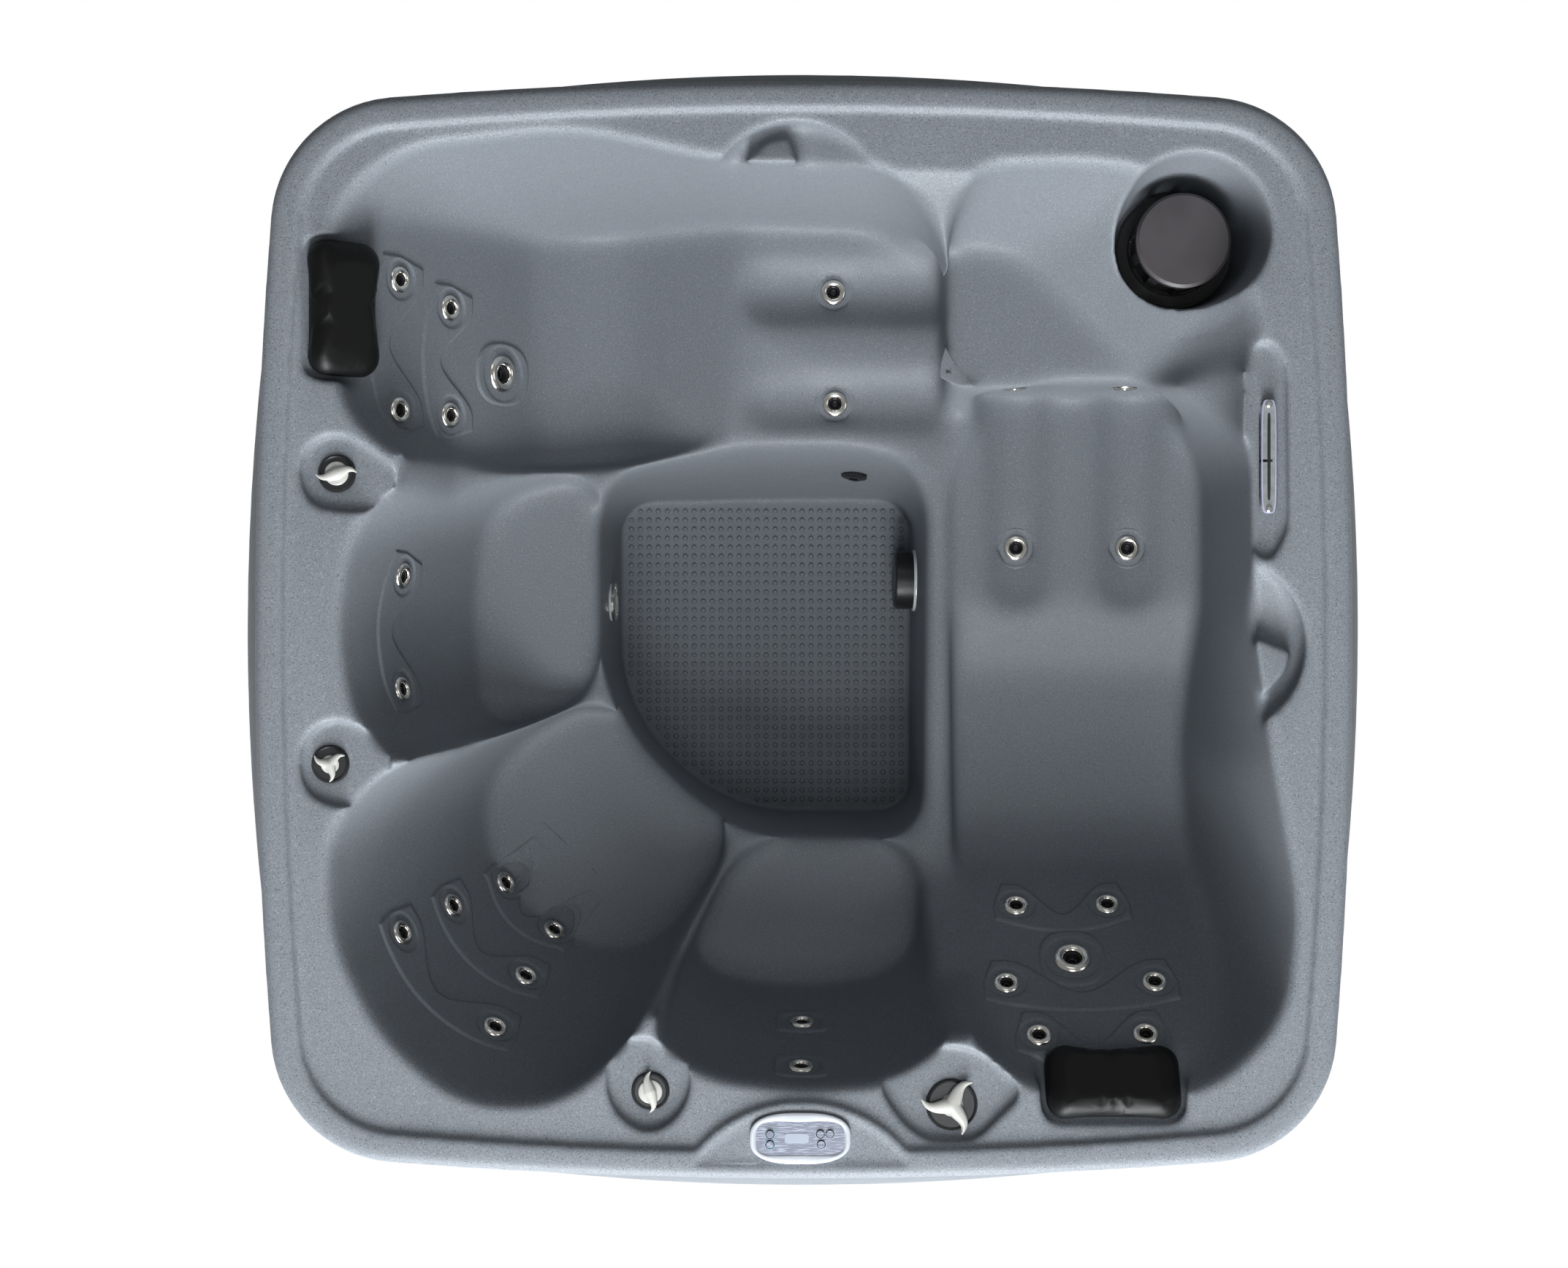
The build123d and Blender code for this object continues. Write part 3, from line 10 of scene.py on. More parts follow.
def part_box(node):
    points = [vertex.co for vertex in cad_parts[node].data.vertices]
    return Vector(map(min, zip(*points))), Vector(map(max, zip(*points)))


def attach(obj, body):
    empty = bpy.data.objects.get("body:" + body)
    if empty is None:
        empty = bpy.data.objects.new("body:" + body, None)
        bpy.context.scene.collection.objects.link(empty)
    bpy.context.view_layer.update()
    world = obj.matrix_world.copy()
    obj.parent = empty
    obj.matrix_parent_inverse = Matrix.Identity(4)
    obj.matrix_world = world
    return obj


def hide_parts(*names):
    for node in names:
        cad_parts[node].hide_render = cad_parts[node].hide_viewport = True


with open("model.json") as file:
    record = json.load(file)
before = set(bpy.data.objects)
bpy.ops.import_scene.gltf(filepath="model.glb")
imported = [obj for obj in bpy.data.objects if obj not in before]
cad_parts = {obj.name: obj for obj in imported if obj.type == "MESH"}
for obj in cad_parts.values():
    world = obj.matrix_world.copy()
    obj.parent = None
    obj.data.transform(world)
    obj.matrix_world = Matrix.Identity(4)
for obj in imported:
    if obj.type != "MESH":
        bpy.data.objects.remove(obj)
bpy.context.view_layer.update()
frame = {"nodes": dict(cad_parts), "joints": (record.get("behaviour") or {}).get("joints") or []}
nodes = frame["nodes"]
joints = {joint["child"]: joint for joint in frame["joints"]}

shell_low, shell_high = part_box("shell")
rim_top = shell_high.z
deck_step = 0.012
deck_level = rim_top - deck_step

# The photograph: taken from straight above, a little left of and in front of the middle
photo_width_px = 2146
photo_focal_px = 3586
photo_distance = 4.5
photo_middle = (-0.034, -0.0075)
sensor_width = 36.0
view_reach = 50.0

lamp_aim = 0.6
lamp_distance = 9.0
lamp_size = 3.9
lamp_tint = (0.95, 0.98, 1.0)


def photo_camera():
    lens = bpy.data.cameras.new("photo_camera")
    lens.sensor_width = sensor_width
    lens.lens = photo_focal_px / photo_width_px * sensor_width
    lens.clip_end = view_reach
    camera = bpy.data.objects.new("photo_camera", lens)
    camera.location = (*photo_middle, rim_top + photo_distance)
    bpy.context.scene.collection.objects.link(camera)
    bpy.context.scene.camera = camera


def lamp(name, bearing, elevation, power):
    """Round soft lamp at a bearing from +X and an elevation, both in degrees, aimed at the tub's middle."""
    aim = Vector((0, 0, lamp_aim))
    turn, tilt = math.radians(bearing), math.radians(elevation)
    out = Vector((math.cos(tilt) * math.cos(turn), math.cos(tilt) * math.sin(turn), math.sin(tilt)))
    light = bpy.data.lights.new(name, "AREA")
    light.shape = "DISK"
    light.size = lamp_size
    light.energy = power
    light.color = lamp_tint
    lamp_object = bpy.data.objects.new(name, light)
    lamp_object.location = aim + out * lamp_distance
    lamp_object.rotation_euler = out.to_track_quat("Z", "Y").to_euler()
    bpy.context.scene.collection.objects.link(lamp_object)


photo_camera()
bpy.context.scene.view_settings.view_transform = "Standard"
lamp("front_low_lamp", -90, 15, 750)
lamp("front_middle_lamp", -90, 30, 450)
lamp("front_high_lamp", -90, 45, 400)
lamp("top_lamp", -90, 75, 120)
lamp("right_lamp", 0, 40, 50)
lamp("back_lamp", 90, 50, 35)


class Value:
    """An output socket of a finish, on which values are worked out as Python expressions."""

    def __init__(self, finish, socket):
        self.finish = finish
        self.socket = socket

    def maths(self, operation, first, second=None):
        values = [first] if second is None else [first, second]
        return self.finish.add("ShaderNodeMath", {"operation": operation}, values)

    def __add__(self, other):
        return self.maths("ADD", self, other)

    def __radd__(self, other):
        return self.maths("ADD", other, self)

    def __sub__(self, other):
        return self.maths("SUBTRACT", self, other)

    def __rsub__(self, other):
        return self.maths("SUBTRACT", other, self)

    def __mul__(self, other):
        return self.maths("MULTIPLY", self, other)

    def __rmul__(self, other):
        return self.maths("MULTIPLY", other, self)

    def clamped(self):
        return self.maths("MINIMUM", self.maths("MAXIMUM", self, 0.0), 1.0)


class Finish:
    """A material of the tub, made of nodes round one surface shader."""

    def __init__(self, name, **surface):
        self.material = bpy.data.materials.new(name)
        self.material.use_nodes = True
        self.tree = self.material.node_tree
        self.tree.nodes.clear()
        self.output = self.tree.nodes.new("ShaderNodeOutputMaterial")
        self.shader = self.tree.nodes.new("ShaderNodeBsdfPrincipled")
        self.tree.links.new(self.shader.outputs[0], self.output.inputs[0])
        self.place = self.add("ShaderNodeTexCoord", {}, {}, "Object")
        self.set(**surface)

    def add(self, kind, settings, inputs, output=0):
        node = self.tree.nodes.new(kind)
        for name, setting in settings.items():
            if name == "stops":
                ramp = node.color_ramp
                for stop, (position, colour) in enumerate(setting):
                    if stop == len(ramp.elements):
                        ramp.elements.new(position)
                    element = ramp.elements[stop]
                    element.position = position
                    element.color = colour
            else:
                setattr(node, name, setting)
        pairs = inputs.items() if isinstance(inputs, dict) else enumerate(inputs)
        for name, value in pairs:
            self.feed(node.inputs[name], value)
        return Value(self, node.outputs[output])

    def feed(self, socket, value):
        if isinstance(value, Value):
            self.tree.links.new(value.socket, socket)
        else:
            socket.default_value = value

    def set(self, **surface):
        for name, value in surface.items():
            self.feed(self.shader.inputs[name.replace("_", " ")], value)

    def noise(self, scale, detail=3.0, roughness=0.5):
        return self.add("ShaderNodeTexNoise", {}, {
            "Vector": self.place, "Scale": scale, "Detail": detail, "Roughness": roughness,
        })

    def streaks(self, angle, along, across):
        """Noise drawn out in one direction in the plan, with its scale along and across the streaks."""
        turned_place = self.add("ShaderNodeMapping", {}, {
            "Vector": self.place, "Rotation": (0, 0, -angle), "Scale": (along, across, 1),
        })
        return self.add("ShaderNodeTexNoise", {}, {"Vector": turned_place, "Scale": 1.0, "Detail": 2.0})

    def ramp(self, value, *stops):
        return self.add("ShaderNodeValToRGB", {"stops": stops}, [value])

    def blend(self, share, first, second):
        return self.add("ShaderNodeMix", {"data_type": "RGBA"}, {0: share, 6: first, 7: second}, 2)

    def bump(self, height, strength, distance):
        return self.add("ShaderNodeBump", {}, {
            "Strength": strength, "Distance": distance, "Height": height,
        })

    def axis(self, name):
        return self.add("ShaderNodeSeparateXYZ", {}, [self.place], name)


def rgba(red, green, blue):
    return (red, green, blue, 1.0)


# Granite: noise scales in cells per metre; each strength is the basin's, and what the deck adds to it
# Painted light: the deck and rim are painted paler than the basin, and this fades in over a depth below the
# deck
deck_painted_light = 1.3
deck_blend_depth = 0.035
deck_blend_slope = 30.0
drift_scale, drift_swing, drift_base = 3.0, 0.5, 0.75
dark_fleck_scale, dark_fleck_limit = 430.0, 0.45
dark_fleck_strength, dark_fleck_on_deck = 0.4, 0.35
pale_fleck_scale, pale_fleck_limit = 330.0, 0.56
pale_fleck_strength, pale_fleck_on_deck = 0.3, 0.3
fleck_edge, fleck_detail, fleck_roughness = 8.0, 2.0, 0.6
orange_peel_scale, orange_peel_strength, orange_peel_depth = 240.0, 0.25, 0.0006
granite_gloss_scale, granite_gloss_swing = 40.0, 0.12
granite_specular = 0.25

# Plain plastics and steel
wipe_scale, wipe_gloss_swing = 14.0, 0.1
grain_scale, grain_depth = 900.0, 0.0003
smear_scale, smear_gloss_swing = 60.0, 0.12

# Printed face of the control panel and clear plastic of the waterfall
streak_angle = math.radians(48)
streak_scale_along, streak_scale_across = 45.0, 620.0
clear_patch_scale, clear_gloss_scale = 90.0, 60.0


def granite(name, base, fleck_dark, fleck_pale, roughness):
    """Moulded polyethylene with fine flecks and a faint drift of tone; painted light makes it paler on the
    deck and rim.
    """
    finish = Finish(name)
    deep, painted_lit_base = rgba(*base), rgba(*[share * deck_painted_light for share in base])
    height = finish.axis("Z")
    # Share of the deck: it carries the painted light of the paler base, and the flecks' added strength on the
    # deck
    upper = ((height - (deck_level - deck_blend_depth)) * deck_blend_slope).clamped()
    drift = finish.noise(drift_scale, 2.0) * drift_swing + drift_base
    ground = finish.blend(upper * drift, deep, painted_lit_base)
    dark_noise = finish.noise(dark_fleck_scale, fleck_detail, fleck_roughness)
    pale_noise = finish.noise(pale_fleck_scale, fleck_detail, fleck_roughness)
    dark = ((dark_fleck_limit - dark_noise) * fleck_edge).clamped()
    pale = ((pale_noise - pale_fleck_limit) * fleck_edge).clamped()
    dark_share = dark * (upper * dark_fleck_on_deck + dark_fleck_strength)
    pale_share = pale * (upper * pale_fleck_on_deck + pale_fleck_strength)
    colour = finish.blend(dark_share, ground, rgba(*fleck_dark))
    colour = finish.blend(pale_share, colour, rgba(*fleck_pale))
    gloss = finish.noise(granite_gloss_scale) * granite_gloss_swing
    skin = finish.noise(orange_peel_scale, 4.0, 0.6)
    finish.set(Base_Color=colour, Roughness=gloss + (roughness - granite_gloss_swing / 2),
               Normal=finish.bump(skin, orange_peel_strength, orange_peel_depth))
    finish.set(Specular_IOR_Level=granite_specular)
    return finish.material


def moulded(name, base, roughness, grain=0.15, coat=0.0, specular=0.5):
    """Plain moulded plastic with a faint grain and wiped patches."""
    finish = Finish(name)
    wipe = finish.noise(wipe_scale, 4.0)
    darker, paler = rgba(*[c * 0.9 for c in base]), rgba(*[c * 1.1 for c in base])
    finish.set(Base_Color=finish.ramp(wipe, (0.35, darker), (0.65, paler)),
               Roughness=wipe * wipe_gloss_swing + (roughness - wipe_gloss_swing / 2),
               Normal=finish.bump(finish.noise(grain_scale, 2.0), grain, grain_depth),
               Coat_Weight=coat, Specular_IOR_Level=specular)
    return finish.material


def steel(name, base, roughness):
    """Pressed stainless steel with faint smears."""
    finish = Finish(name, Metallic=1.0)
    smear = finish.noise(smear_scale, 3.0)
    colour = finish.ramp(smear, (0.3, rgba(*[c * 0.92 for c in base])), (0.7, rgba(*base)))
    finish.set(Base_Color=colour, Roughness=smear * smear_gloss_swing + (roughness - 0.05))
    return finish.material


def printed_face(name, dark, pale):
    """Coated plastic with slanting pale streaks."""
    finish = Finish(name, Coat_Weight=0.3)
    streaks = finish.streaks(streak_angle, streak_scale_along, streak_scale_across)
    finish.set(Base_Color=finish.ramp(streaks, (0.50, rgba(*dark)), (0.62, rgba(*pale))),
               Roughness=streaks * 0.2 + 0.15)
    return finish.material


def clear_plastic(name, dark, pale):
    """Milky clear plastic."""
    finish = Finish(name, Transmission_Weight=0.55, IOR=1.49)
    patches = finish.noise(clear_patch_scale)
    finish.set(Base_Color=finish.ramp(patches, (0.3, rgba(*dark)), (0.7, rgba(*pale))),
               Roughness=finish.noise(clear_gloss_scale) * 0.2 + 0.12)
    return finish.material


shell_granite = granite("shell_granite", (0.192, 0.208, 0.230), (0.055, 0.06, 0.07), (0.42, 0.44, 0.47), 0.50)
skirt_granite = granite("skirt_granite", (0.185, 0.2, 0.222), (0.05, 0.055, 0.062), (0.38, 0.4, 0.43), 0.56)
base_black = moulded("base_black", (0.03, 0.03, 0.032), 0.6)
fitting_black = moulded("fitting_black", (0.018, 0.018, 0.02), 0.35)
jet_steel = steel("jet_steel", (0.86, 0.83, 0.77), 0.16)
screw_steel = steel("screw_steel", (0.7, 0.7, 0.7), 0.3)
knob_silver = moulded("knob_silver", (0.62, 0.61, 0.57), 0.3, 0.05, 0.3)
bezel_white = moulded("bezel_white", (0.62, 0.65, 0.7), 0.25, 0.05, 0.4)
screen_grey = moulded("screen_grey", (0.36, 0.41, 0.5), 0.15, 0.02, 0.5)
line_white = moulded("line_white", (0.5, 0.54, 0.6), 0.4)
line_blue = moulded("line_blue", (0.28, 0.5, 0.6), 0.4)
lid_brown = moulded("lid_brown", (0.07, 0.063, 0.068), 0.42, 0.3)
pillow_skin = moulded("pillow_skin", (0.004, 0.004, 0.004), 0.45, 0.25, 0.0, 0.25)
fall_edge = moulded("fall_edge", (0.5, 0.5, 0.66), 0.3, 0.05, 0.3)
lens_white = moulded("lens_white", (0.75, 0.78, 0.8), 0.1, 0.02, 0.5)
motor_black = moulded("motor_black", (0.025, 0.025, 0.03), 0.45)
box_grey = moulded("box_grey", (0.16, 0.165, 0.175), 0.5)
pipe_white = moulded("pipe_white", (0.75, 0.75, 0.74), 0.35)
fleece_white = moulded("fleece_white", (0.7, 0.71, 0.73), 0.9, 0.6)
panel_face = printed_face("panel_face", (0.17, 0.19, 0.26), (0.42, 0.45, 0.54))
waterfall_clear = clear_plastic("waterfall_clear", (0.55, 0.58, 0.6), (0.72, 0.75, 0.77))

node_finishes = {
    "shell": shell_granite, "skirt": skirt_granite, "access_door": skirt_granite, "base_pan": base_black,
    "jet_bodies": fitting_black, "valve_bodies": fitting_black, "panel_housing": bezel_white,
    "waterfall_fitting": waterfall_clear, "screws": screw_steel, "filter_housing": fitting_black,
    "filter_basket": fitting_black, "filter_cartridge": fleece_white, "filter_lid": lid_brown,
    "footwell_fittings": fitting_black, "footwell_light": lens_white, "pump": motor_black,
    "spa_pack": box_grey, "plumbing": pipe_white, "drain_valve": fitting_black, "drain_cap": fitting_black,
    "cable_gland": fitting_black, "pillow_a": pillow_skin, "pillow_b": pillow_skin,
}
for name, node in nodes.items():
    if name in node_finishes:
        finish = node_finishes[name]
    elif "jet" in name:
        finish = jet_steel
    elif "knob" in name:
        finish = knob_silver
    else:
        finish = panel_face
    node.data.materials.clear()
    node.data.materials.append(finish)


floor_size = 40
floor_tone = rgba(0.8, 0.8, 0.8)
sky_tone = rgba(0.92, 0.96, 1.0)
sky_light = 0.03
shine_tone = rgba(0.8, 0.8, 0.8)
sky_shine = 0.3
white = rgba(1.0, 1.0, 1.0)


def pale_floor():
    """Floor that is lit and shaded by the lamps, but that the camera sees as plain white."""
    bpy.ops.mesh.primitive_plane_add(size=floor_size, location=(0, 0, 0))
    floor = bpy.context.object
    floor.name = "floor"
    finish = Finish("floor_white")
    finish.set(Base_Color=floor_tone, Roughness=0.9)
    glow = finish.add("ShaderNodeEmission", {}, {"Color": white, "Strength": 1.0})
    ray = finish.add("ShaderNodeLightPath", {}, {}, "Is Camera Ray")
    lit = Value(finish, finish.shader.outputs[0])
    mixed = finish.add("ShaderNodeMixShader", {}, {0: ray, 1: lit, 2: glow})
    finish.tree.links.new(mixed.socket, finish.output.inputs[0])
    floor.data.materials.append(finish.material)


def pale_world():
    """Nearly dark surroundings for light, pale ones for mirror images, white ones for the camera."""
    world = bpy.data.worlds.new("studio")
    bpy.context.scene.world = world
    world.use_nodes = True
    tree = world.node_tree
    tree.nodes.clear()

    def surroundings(tone, strength):
        background = tree.nodes.new("ShaderNodeBackground")
        background.inputs[0].default_value = tone
        background.inputs[1].default_value = strength
        return background

    output = tree.nodes.new("ShaderNodeOutputWorld")
    path = tree.nodes.new("ShaderNodeLightPath")
    shown = surroundings(sky_tone, sky_light)
    shine, backdrop = surroundings(shine_tone, sky_shine), surroundings(white, 1.0)
    seen_by = (("Is Glossy Ray", shine), ("Is Transmission Ray", backdrop), ("Is Camera Ray", backdrop))
    for ray, seen in seen_by:
        mix = tree.nodes.new("ShaderNodeMixShader")
        tree.links.new(path.outputs[ray], mix.inputs[0])
        tree.links.new(shown.outputs[0], mix.inputs[1])
        tree.links.new(seen.outputs[0], mix.inputs[2])
        shown = mix
    tree.links.new(shown.outputs[0], output.inputs[0])


bpy.ops.object.select_all(action="DESELECT")
pale_floor()
pale_world()


def only(piece):
    """Deselects everything and makes one object the active one."""
    bpy.ops.object.select_all(action="DESELECT")
    piece.select_set(True)
    bpy.context.view_layer.objects.active = piece


weld = 0.00002


def copy_of(node, name):
    """A loose-triangle CAD node copied, with its triangles joined."""
    piece = nodes[node].copy()
    piece.data = nodes[node].data.copy()
    piece.name = name
    piece.parent = None
    for key in list(piece.keys()):
        del piece[key]
    bpy.context.scene.collection.objects.link(piece)
    only(piece)
    bpy.ops.object.mode_set(mode="EDIT")
    bpy.ops.mesh.select_all(action="SELECT")
    bpy.ops.mesh.remove_doubles(threshold=weld)
    bpy.ops.object.mode_set(mode="OBJECT")
    return piece


def finished(piece, *modifiers):
    """Adds modifiers with their settings, one after the other, and applies each."""
    only(piece)
    for kind, settings in modifiers:
        modifier = piece.modifiers.new(kind.lower(), kind)
        for setting, value in settings.items():
            setattr(modifier, setting, value)
        bpy.ops.object.modifier_apply(modifier=modifier.name)


def soft_step(value):
    share = min(max(value, 0.0), 1.0)
    return share * share * (3 - 2 * share)


# Shell: remeshed and smoothed all over, then again where a moulded basin rounds off freely
shell_voxel = 0.0045
shell_smoothing = 14
basin_smoothing = 220
shell_triangles = 190000
deck_quiet, deck_fade = 0.012, 0.05
well_quiet, well_fade = 0.22, 0.06
bowl_reach = 0.17
bed_reach, bed_fade = 0.035, 0.04
step_level = 0.59
step_post = ((0.228, 0.432), (0.318, 0.535))
step_post_left = 0.03
lid_low, lid_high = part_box("filter_lid")
bowl_middle = (lid_low + lid_high) / 2
beds = [sum(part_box(name), Vector()) / 2 for name in nodes if "jet" in name and name != "jet_bodies"]


def softness(corner):
    """How freely the shell may round off at a corner: not on the deck, in the well or by a fitting."""
    below_deck = soft_step((deck_level - deck_quiet - corner.z) / deck_fade)
    above_well = soft_step((corner.z - well_quiet) / well_fade)
    in_bowl = math.hypot(corner.x - bowl_middle.x, corner.y - bowl_middle.y) < bowl_reach
    nearest = min((corner - bed).length for bed in beds)
    return 0.0 if in_bowl else below_deck * above_well * soft_step((nearest - bed_reach) / bed_fade)


def pressed(piece, low, high, level, left):
    """Presses what rises above a level inside a box in the plan down to a small share of its rise."""
    for corner in piece.data.vertices:
        if low[0] < corner.co.x < high[0] and low[1] < corner.co.y < high[1] and corner.co.z > level:
            corner.co.z = level + (corner.co.z - level) * left


def shell():
    """The moulded shell: even small triangles, soft bends in the basin, crisp deck and fittings' places."""
    piece = copy_of("shell", "moulded_shell")
    finished(piece,
             ("REMESH", {"mode": "VOXEL", "voxel_size": shell_voxel}),
             ("SMOOTH", {"factor": 0.5, "iterations": shell_smoothing}))
    pressed(piece, *step_post, step_level, step_post_left)
    soft_group = piece.vertex_groups.new(name="soft")
    for corner in piece.data.vertices:
        soft = softness(corner.co)
        if soft > 0:
            soft_group.add([corner.index], soft, "REPLACE")
    finished(piece, ("SMOOTH", {"factor": 0.5, "iterations": basin_smoothing, "vertex_group": "soft"}))
    triangles = len(piece.data.polygons) * 2
    finished(piece, ("DECIMATE", {"ratio": shell_triangles / triangles}))
    bpy.ops.object.shade_smooth()
    piece.data.materials.clear()
    piece.data.materials.append(shell_granite)
    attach(piece, "tub")
    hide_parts("shell")
    return piece


skin = BVHTree.FromObject(shell(), bpy.context.evaluated_depsgraph_get())


crease_angle = math.radians(40)


def round_spot(angle, radius, height):
    return (radius * math.cos(angle), radius * math.sin(angle), height)


def oval_spot(angle, half_x, half_y, squareness, bow, height):
    """Point of an oval with full corners; bow is how much further out its long sides stand at the ends."""
    x_share = math.copysign(abs(math.cos(angle)) ** (2 / squareness), math.cos(angle))
    y_share = math.copysign(abs(math.sin(angle)) ** (2 / squareness), math.sin(angle))
    return (half_x * x_share, (half_y + bow * x_share * x_share) * y_share, height)


def turned(name, rows, steps, finish, spot=round_spot):
    """A closed skin through rings of points, one for each row of values that spot takes after the angle."""
    bpy.ops.object.select_all(action="DESELECT")
    bpy.ops.mesh.primitive_circle_add(vertices=steps, radius=1)
    piece = bpy.context.object
    piece.name = name
    bpy.ops.object.mode_set(mode="EDIT")
    bpy.ops.mesh.select_all(action="SELECT")
    for _ in rows[1:]:
        bpy.ops.mesh.extrude_edges_move()
        bpy.ops.transform.translate(value=(0, 0, 1))
    bpy.ops.object.mode_set(mode="OBJECT")
    for corner in piece.data.vertices:
        corner.co = spot(math.atan2(corner.co.y, corner.co.x), *rows[round(corner.co.z)])
    bpy.ops.object.mode_set(mode="EDIT")
    bpy.ops.mesh.select_all(action="SELECT")
    bpy.ops.mesh.remove_doubles(threshold=weld)
    bpy.ops.mesh.normals_make_consistent(inside=False)
    bpy.ops.object.mode_set(mode="OBJECT")
    bpy.ops.object.shade_smooth_by_angle(angle=crease_angle)
    piece.data.materials.append(finish)
    return piece


def upright_on(axis):
    """Turns a piece made about Z so that its Z points along an axis."""
    return axis.to_track_quat("Z", "Y").to_matrix().to_4x4()


def placed_copy(piece, name, place, axis, widths):
    """A copy of a piece made about Z, widened and set at a place with its Z along an axis."""
    copy = piece.copy()
    copy.data = piece.data.copy()
    copy.name = name
    bpy.context.scene.collection.objects.link(copy)
    copy.data.transform(Matrix.Translation(place) @ upright_on(axis) @ Matrix.Diagonal((*widths, 1)))
    return copy


def set_on(piece, middle, axis, body):
    """Sets a piece made about Z at a place with its Z along an axis, riding on a body."""
    piece.data.transform(Matrix.Translation(middle) @ upright_on(axis))
    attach(piece, body)


def axis_of(child):
    """Direction of a turning piece's joint and the place on it where the piece reaches furthest out."""
    joint = joints[child]
    axis = Vector(joint["axis"]).normalized()
    start = Vector(joint["pos_m"])
    reach = max((corner.co - start).dot(axis) for corner in nodes[child].data.vertices)
    return axis, start + axis * reach


# Jets: rows of radius and height above the foot of the ring, from the bore outwards and back
jet_face_height = 0.005
big_scale = 1.45
big_jet_widths = (big_scale, big_scale, 1.3)
jet_bore = 0.0117
jet_foot = -0.006
jet_ring_outline = [
    (jet_bore, jet_foot), (jet_bore, 0.0004), (0.0124, 0.0022), (0.0140, 0.0038), (0.0164, 0.0048),
    (0.0188, 0.0048), (0.0212, 0.0038), (0.0230, 0.0022), (0.0239, 0.0004), (0.0236, 0.0), (0.0150, 0.0),
    (0.0150, jet_foot), (jet_bore, jet_foot),
]
nozzle_radius = 0.0115
nozzle_foot = -0.014
jet_nozzle_outline = [
    (nozzle_radius, nozzle_foot), (nozzle_radius, -0.0022), (0.0106, -0.0010), (0.0096, -0.0018),
    (0.0088, -0.0060), (0.0074, -0.0092), (0.0058, -0.0080), (0.0046, -0.0088), (0.0042, -0.0125),
    (0.0, -0.0125), (0.0, nozzle_foot), (nozzle_radius, nozzle_foot),
]
jet_names = [name for name in joints if "jet" in name]


def jet_seat(jet):
    """Foot of a jet's ring, its axis and how much wider than a small jet it is."""
    axis, top = axis_of(jet)
    return top - axis * jet_face_height, axis, big_scale if "big" in jet else 1.0


def jet_faces():
    """A steel ring and a black nozzle in place of each jet's face."""
    ring_pattern = turned("jet_ring", jet_ring_outline, 48, jet_steel)
    nozzle_pattern = turned("jet_nozzle", jet_nozzle_outline, 32, fitting_black)
    for name in jet_names:
        foot, axis, scale = jet_seat(name)
        widths = big_jet_widths if scale == big_scale else (1, 1, 1)
        ring = placed_copy(ring_pattern, name + "_ring", foot, axis, widths)
        nozzle = placed_copy(nozzle_pattern, name + "_nozzle", foot, axis, widths)
        for piece in (ring, nozzle):
            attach(piece, name)
        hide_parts(name)
    for pattern in (ring_pattern, nozzle_pattern):
        bpy.data.objects.remove(pattern)


jet_faces()


# Pads: skins laid on the shell; collars are flat round each jet, and their sizes are those of a small jet
pad_rise = 0.004
pad_edge = 0.005
pad_sink = 0.0006
pad_reach = 0.035
pad_half_width = 0.062
pad_margin = 0.008
pad_past_jet = 0.044
pad_back, pad_back_taper = 0.046, 0.010
pad_waist, pad_waist_swing = 0.013, 0.050
pad_limit = 1.4
widest_spread = 1.7
oval_margin = 0.006
ray_room = 0.045
opening_reach = 0.085
opening_rounds = 200
opening_margin = 2
patch_step = 0.0025
patch_thickness = 0.0015
patch_crease = math.radians(60)
collar_radius = 0.034
collar_hole = 0.0195
collar_sink = 0.0002
collar_step = 0.004


def seat_near(flat, normal, seats):
    """Distance of a point from the nearest jet, in small jets, and its place on that jet's collar plane."""
    away, seat = math.inf, flat
    for foot, axis, scale in seats:
        on_seat = flat + normal * ((foot - flat).dot(axis) / normal.dot(axis))
        distance = (on_seat - foot).length / scale
        if distance < away:
            away, seat = distance, on_seat - normal * collar_sink
    return away, seat


def span_openings(open_corners, outside, missing):
    """Lays the skin smoothly over places where a ray found no shell, and keeps it a little way round them."""
    for _ in range(opening_rounds):
        for corner in open_corners:
            near = [edge.other_vert(corner) for edge in corner.link_edges]
            near = [other for other in near if other not in missing]
            if near:
                corner.co = sum((other.co for other in near), Vector()) / len(near)
    kept = set(open_corners)
    for _ in range(opening_margin):
        kept |= {edge.other_vert(corner) for corner in kept for edge in corner.link_edges}
    outside -= kept


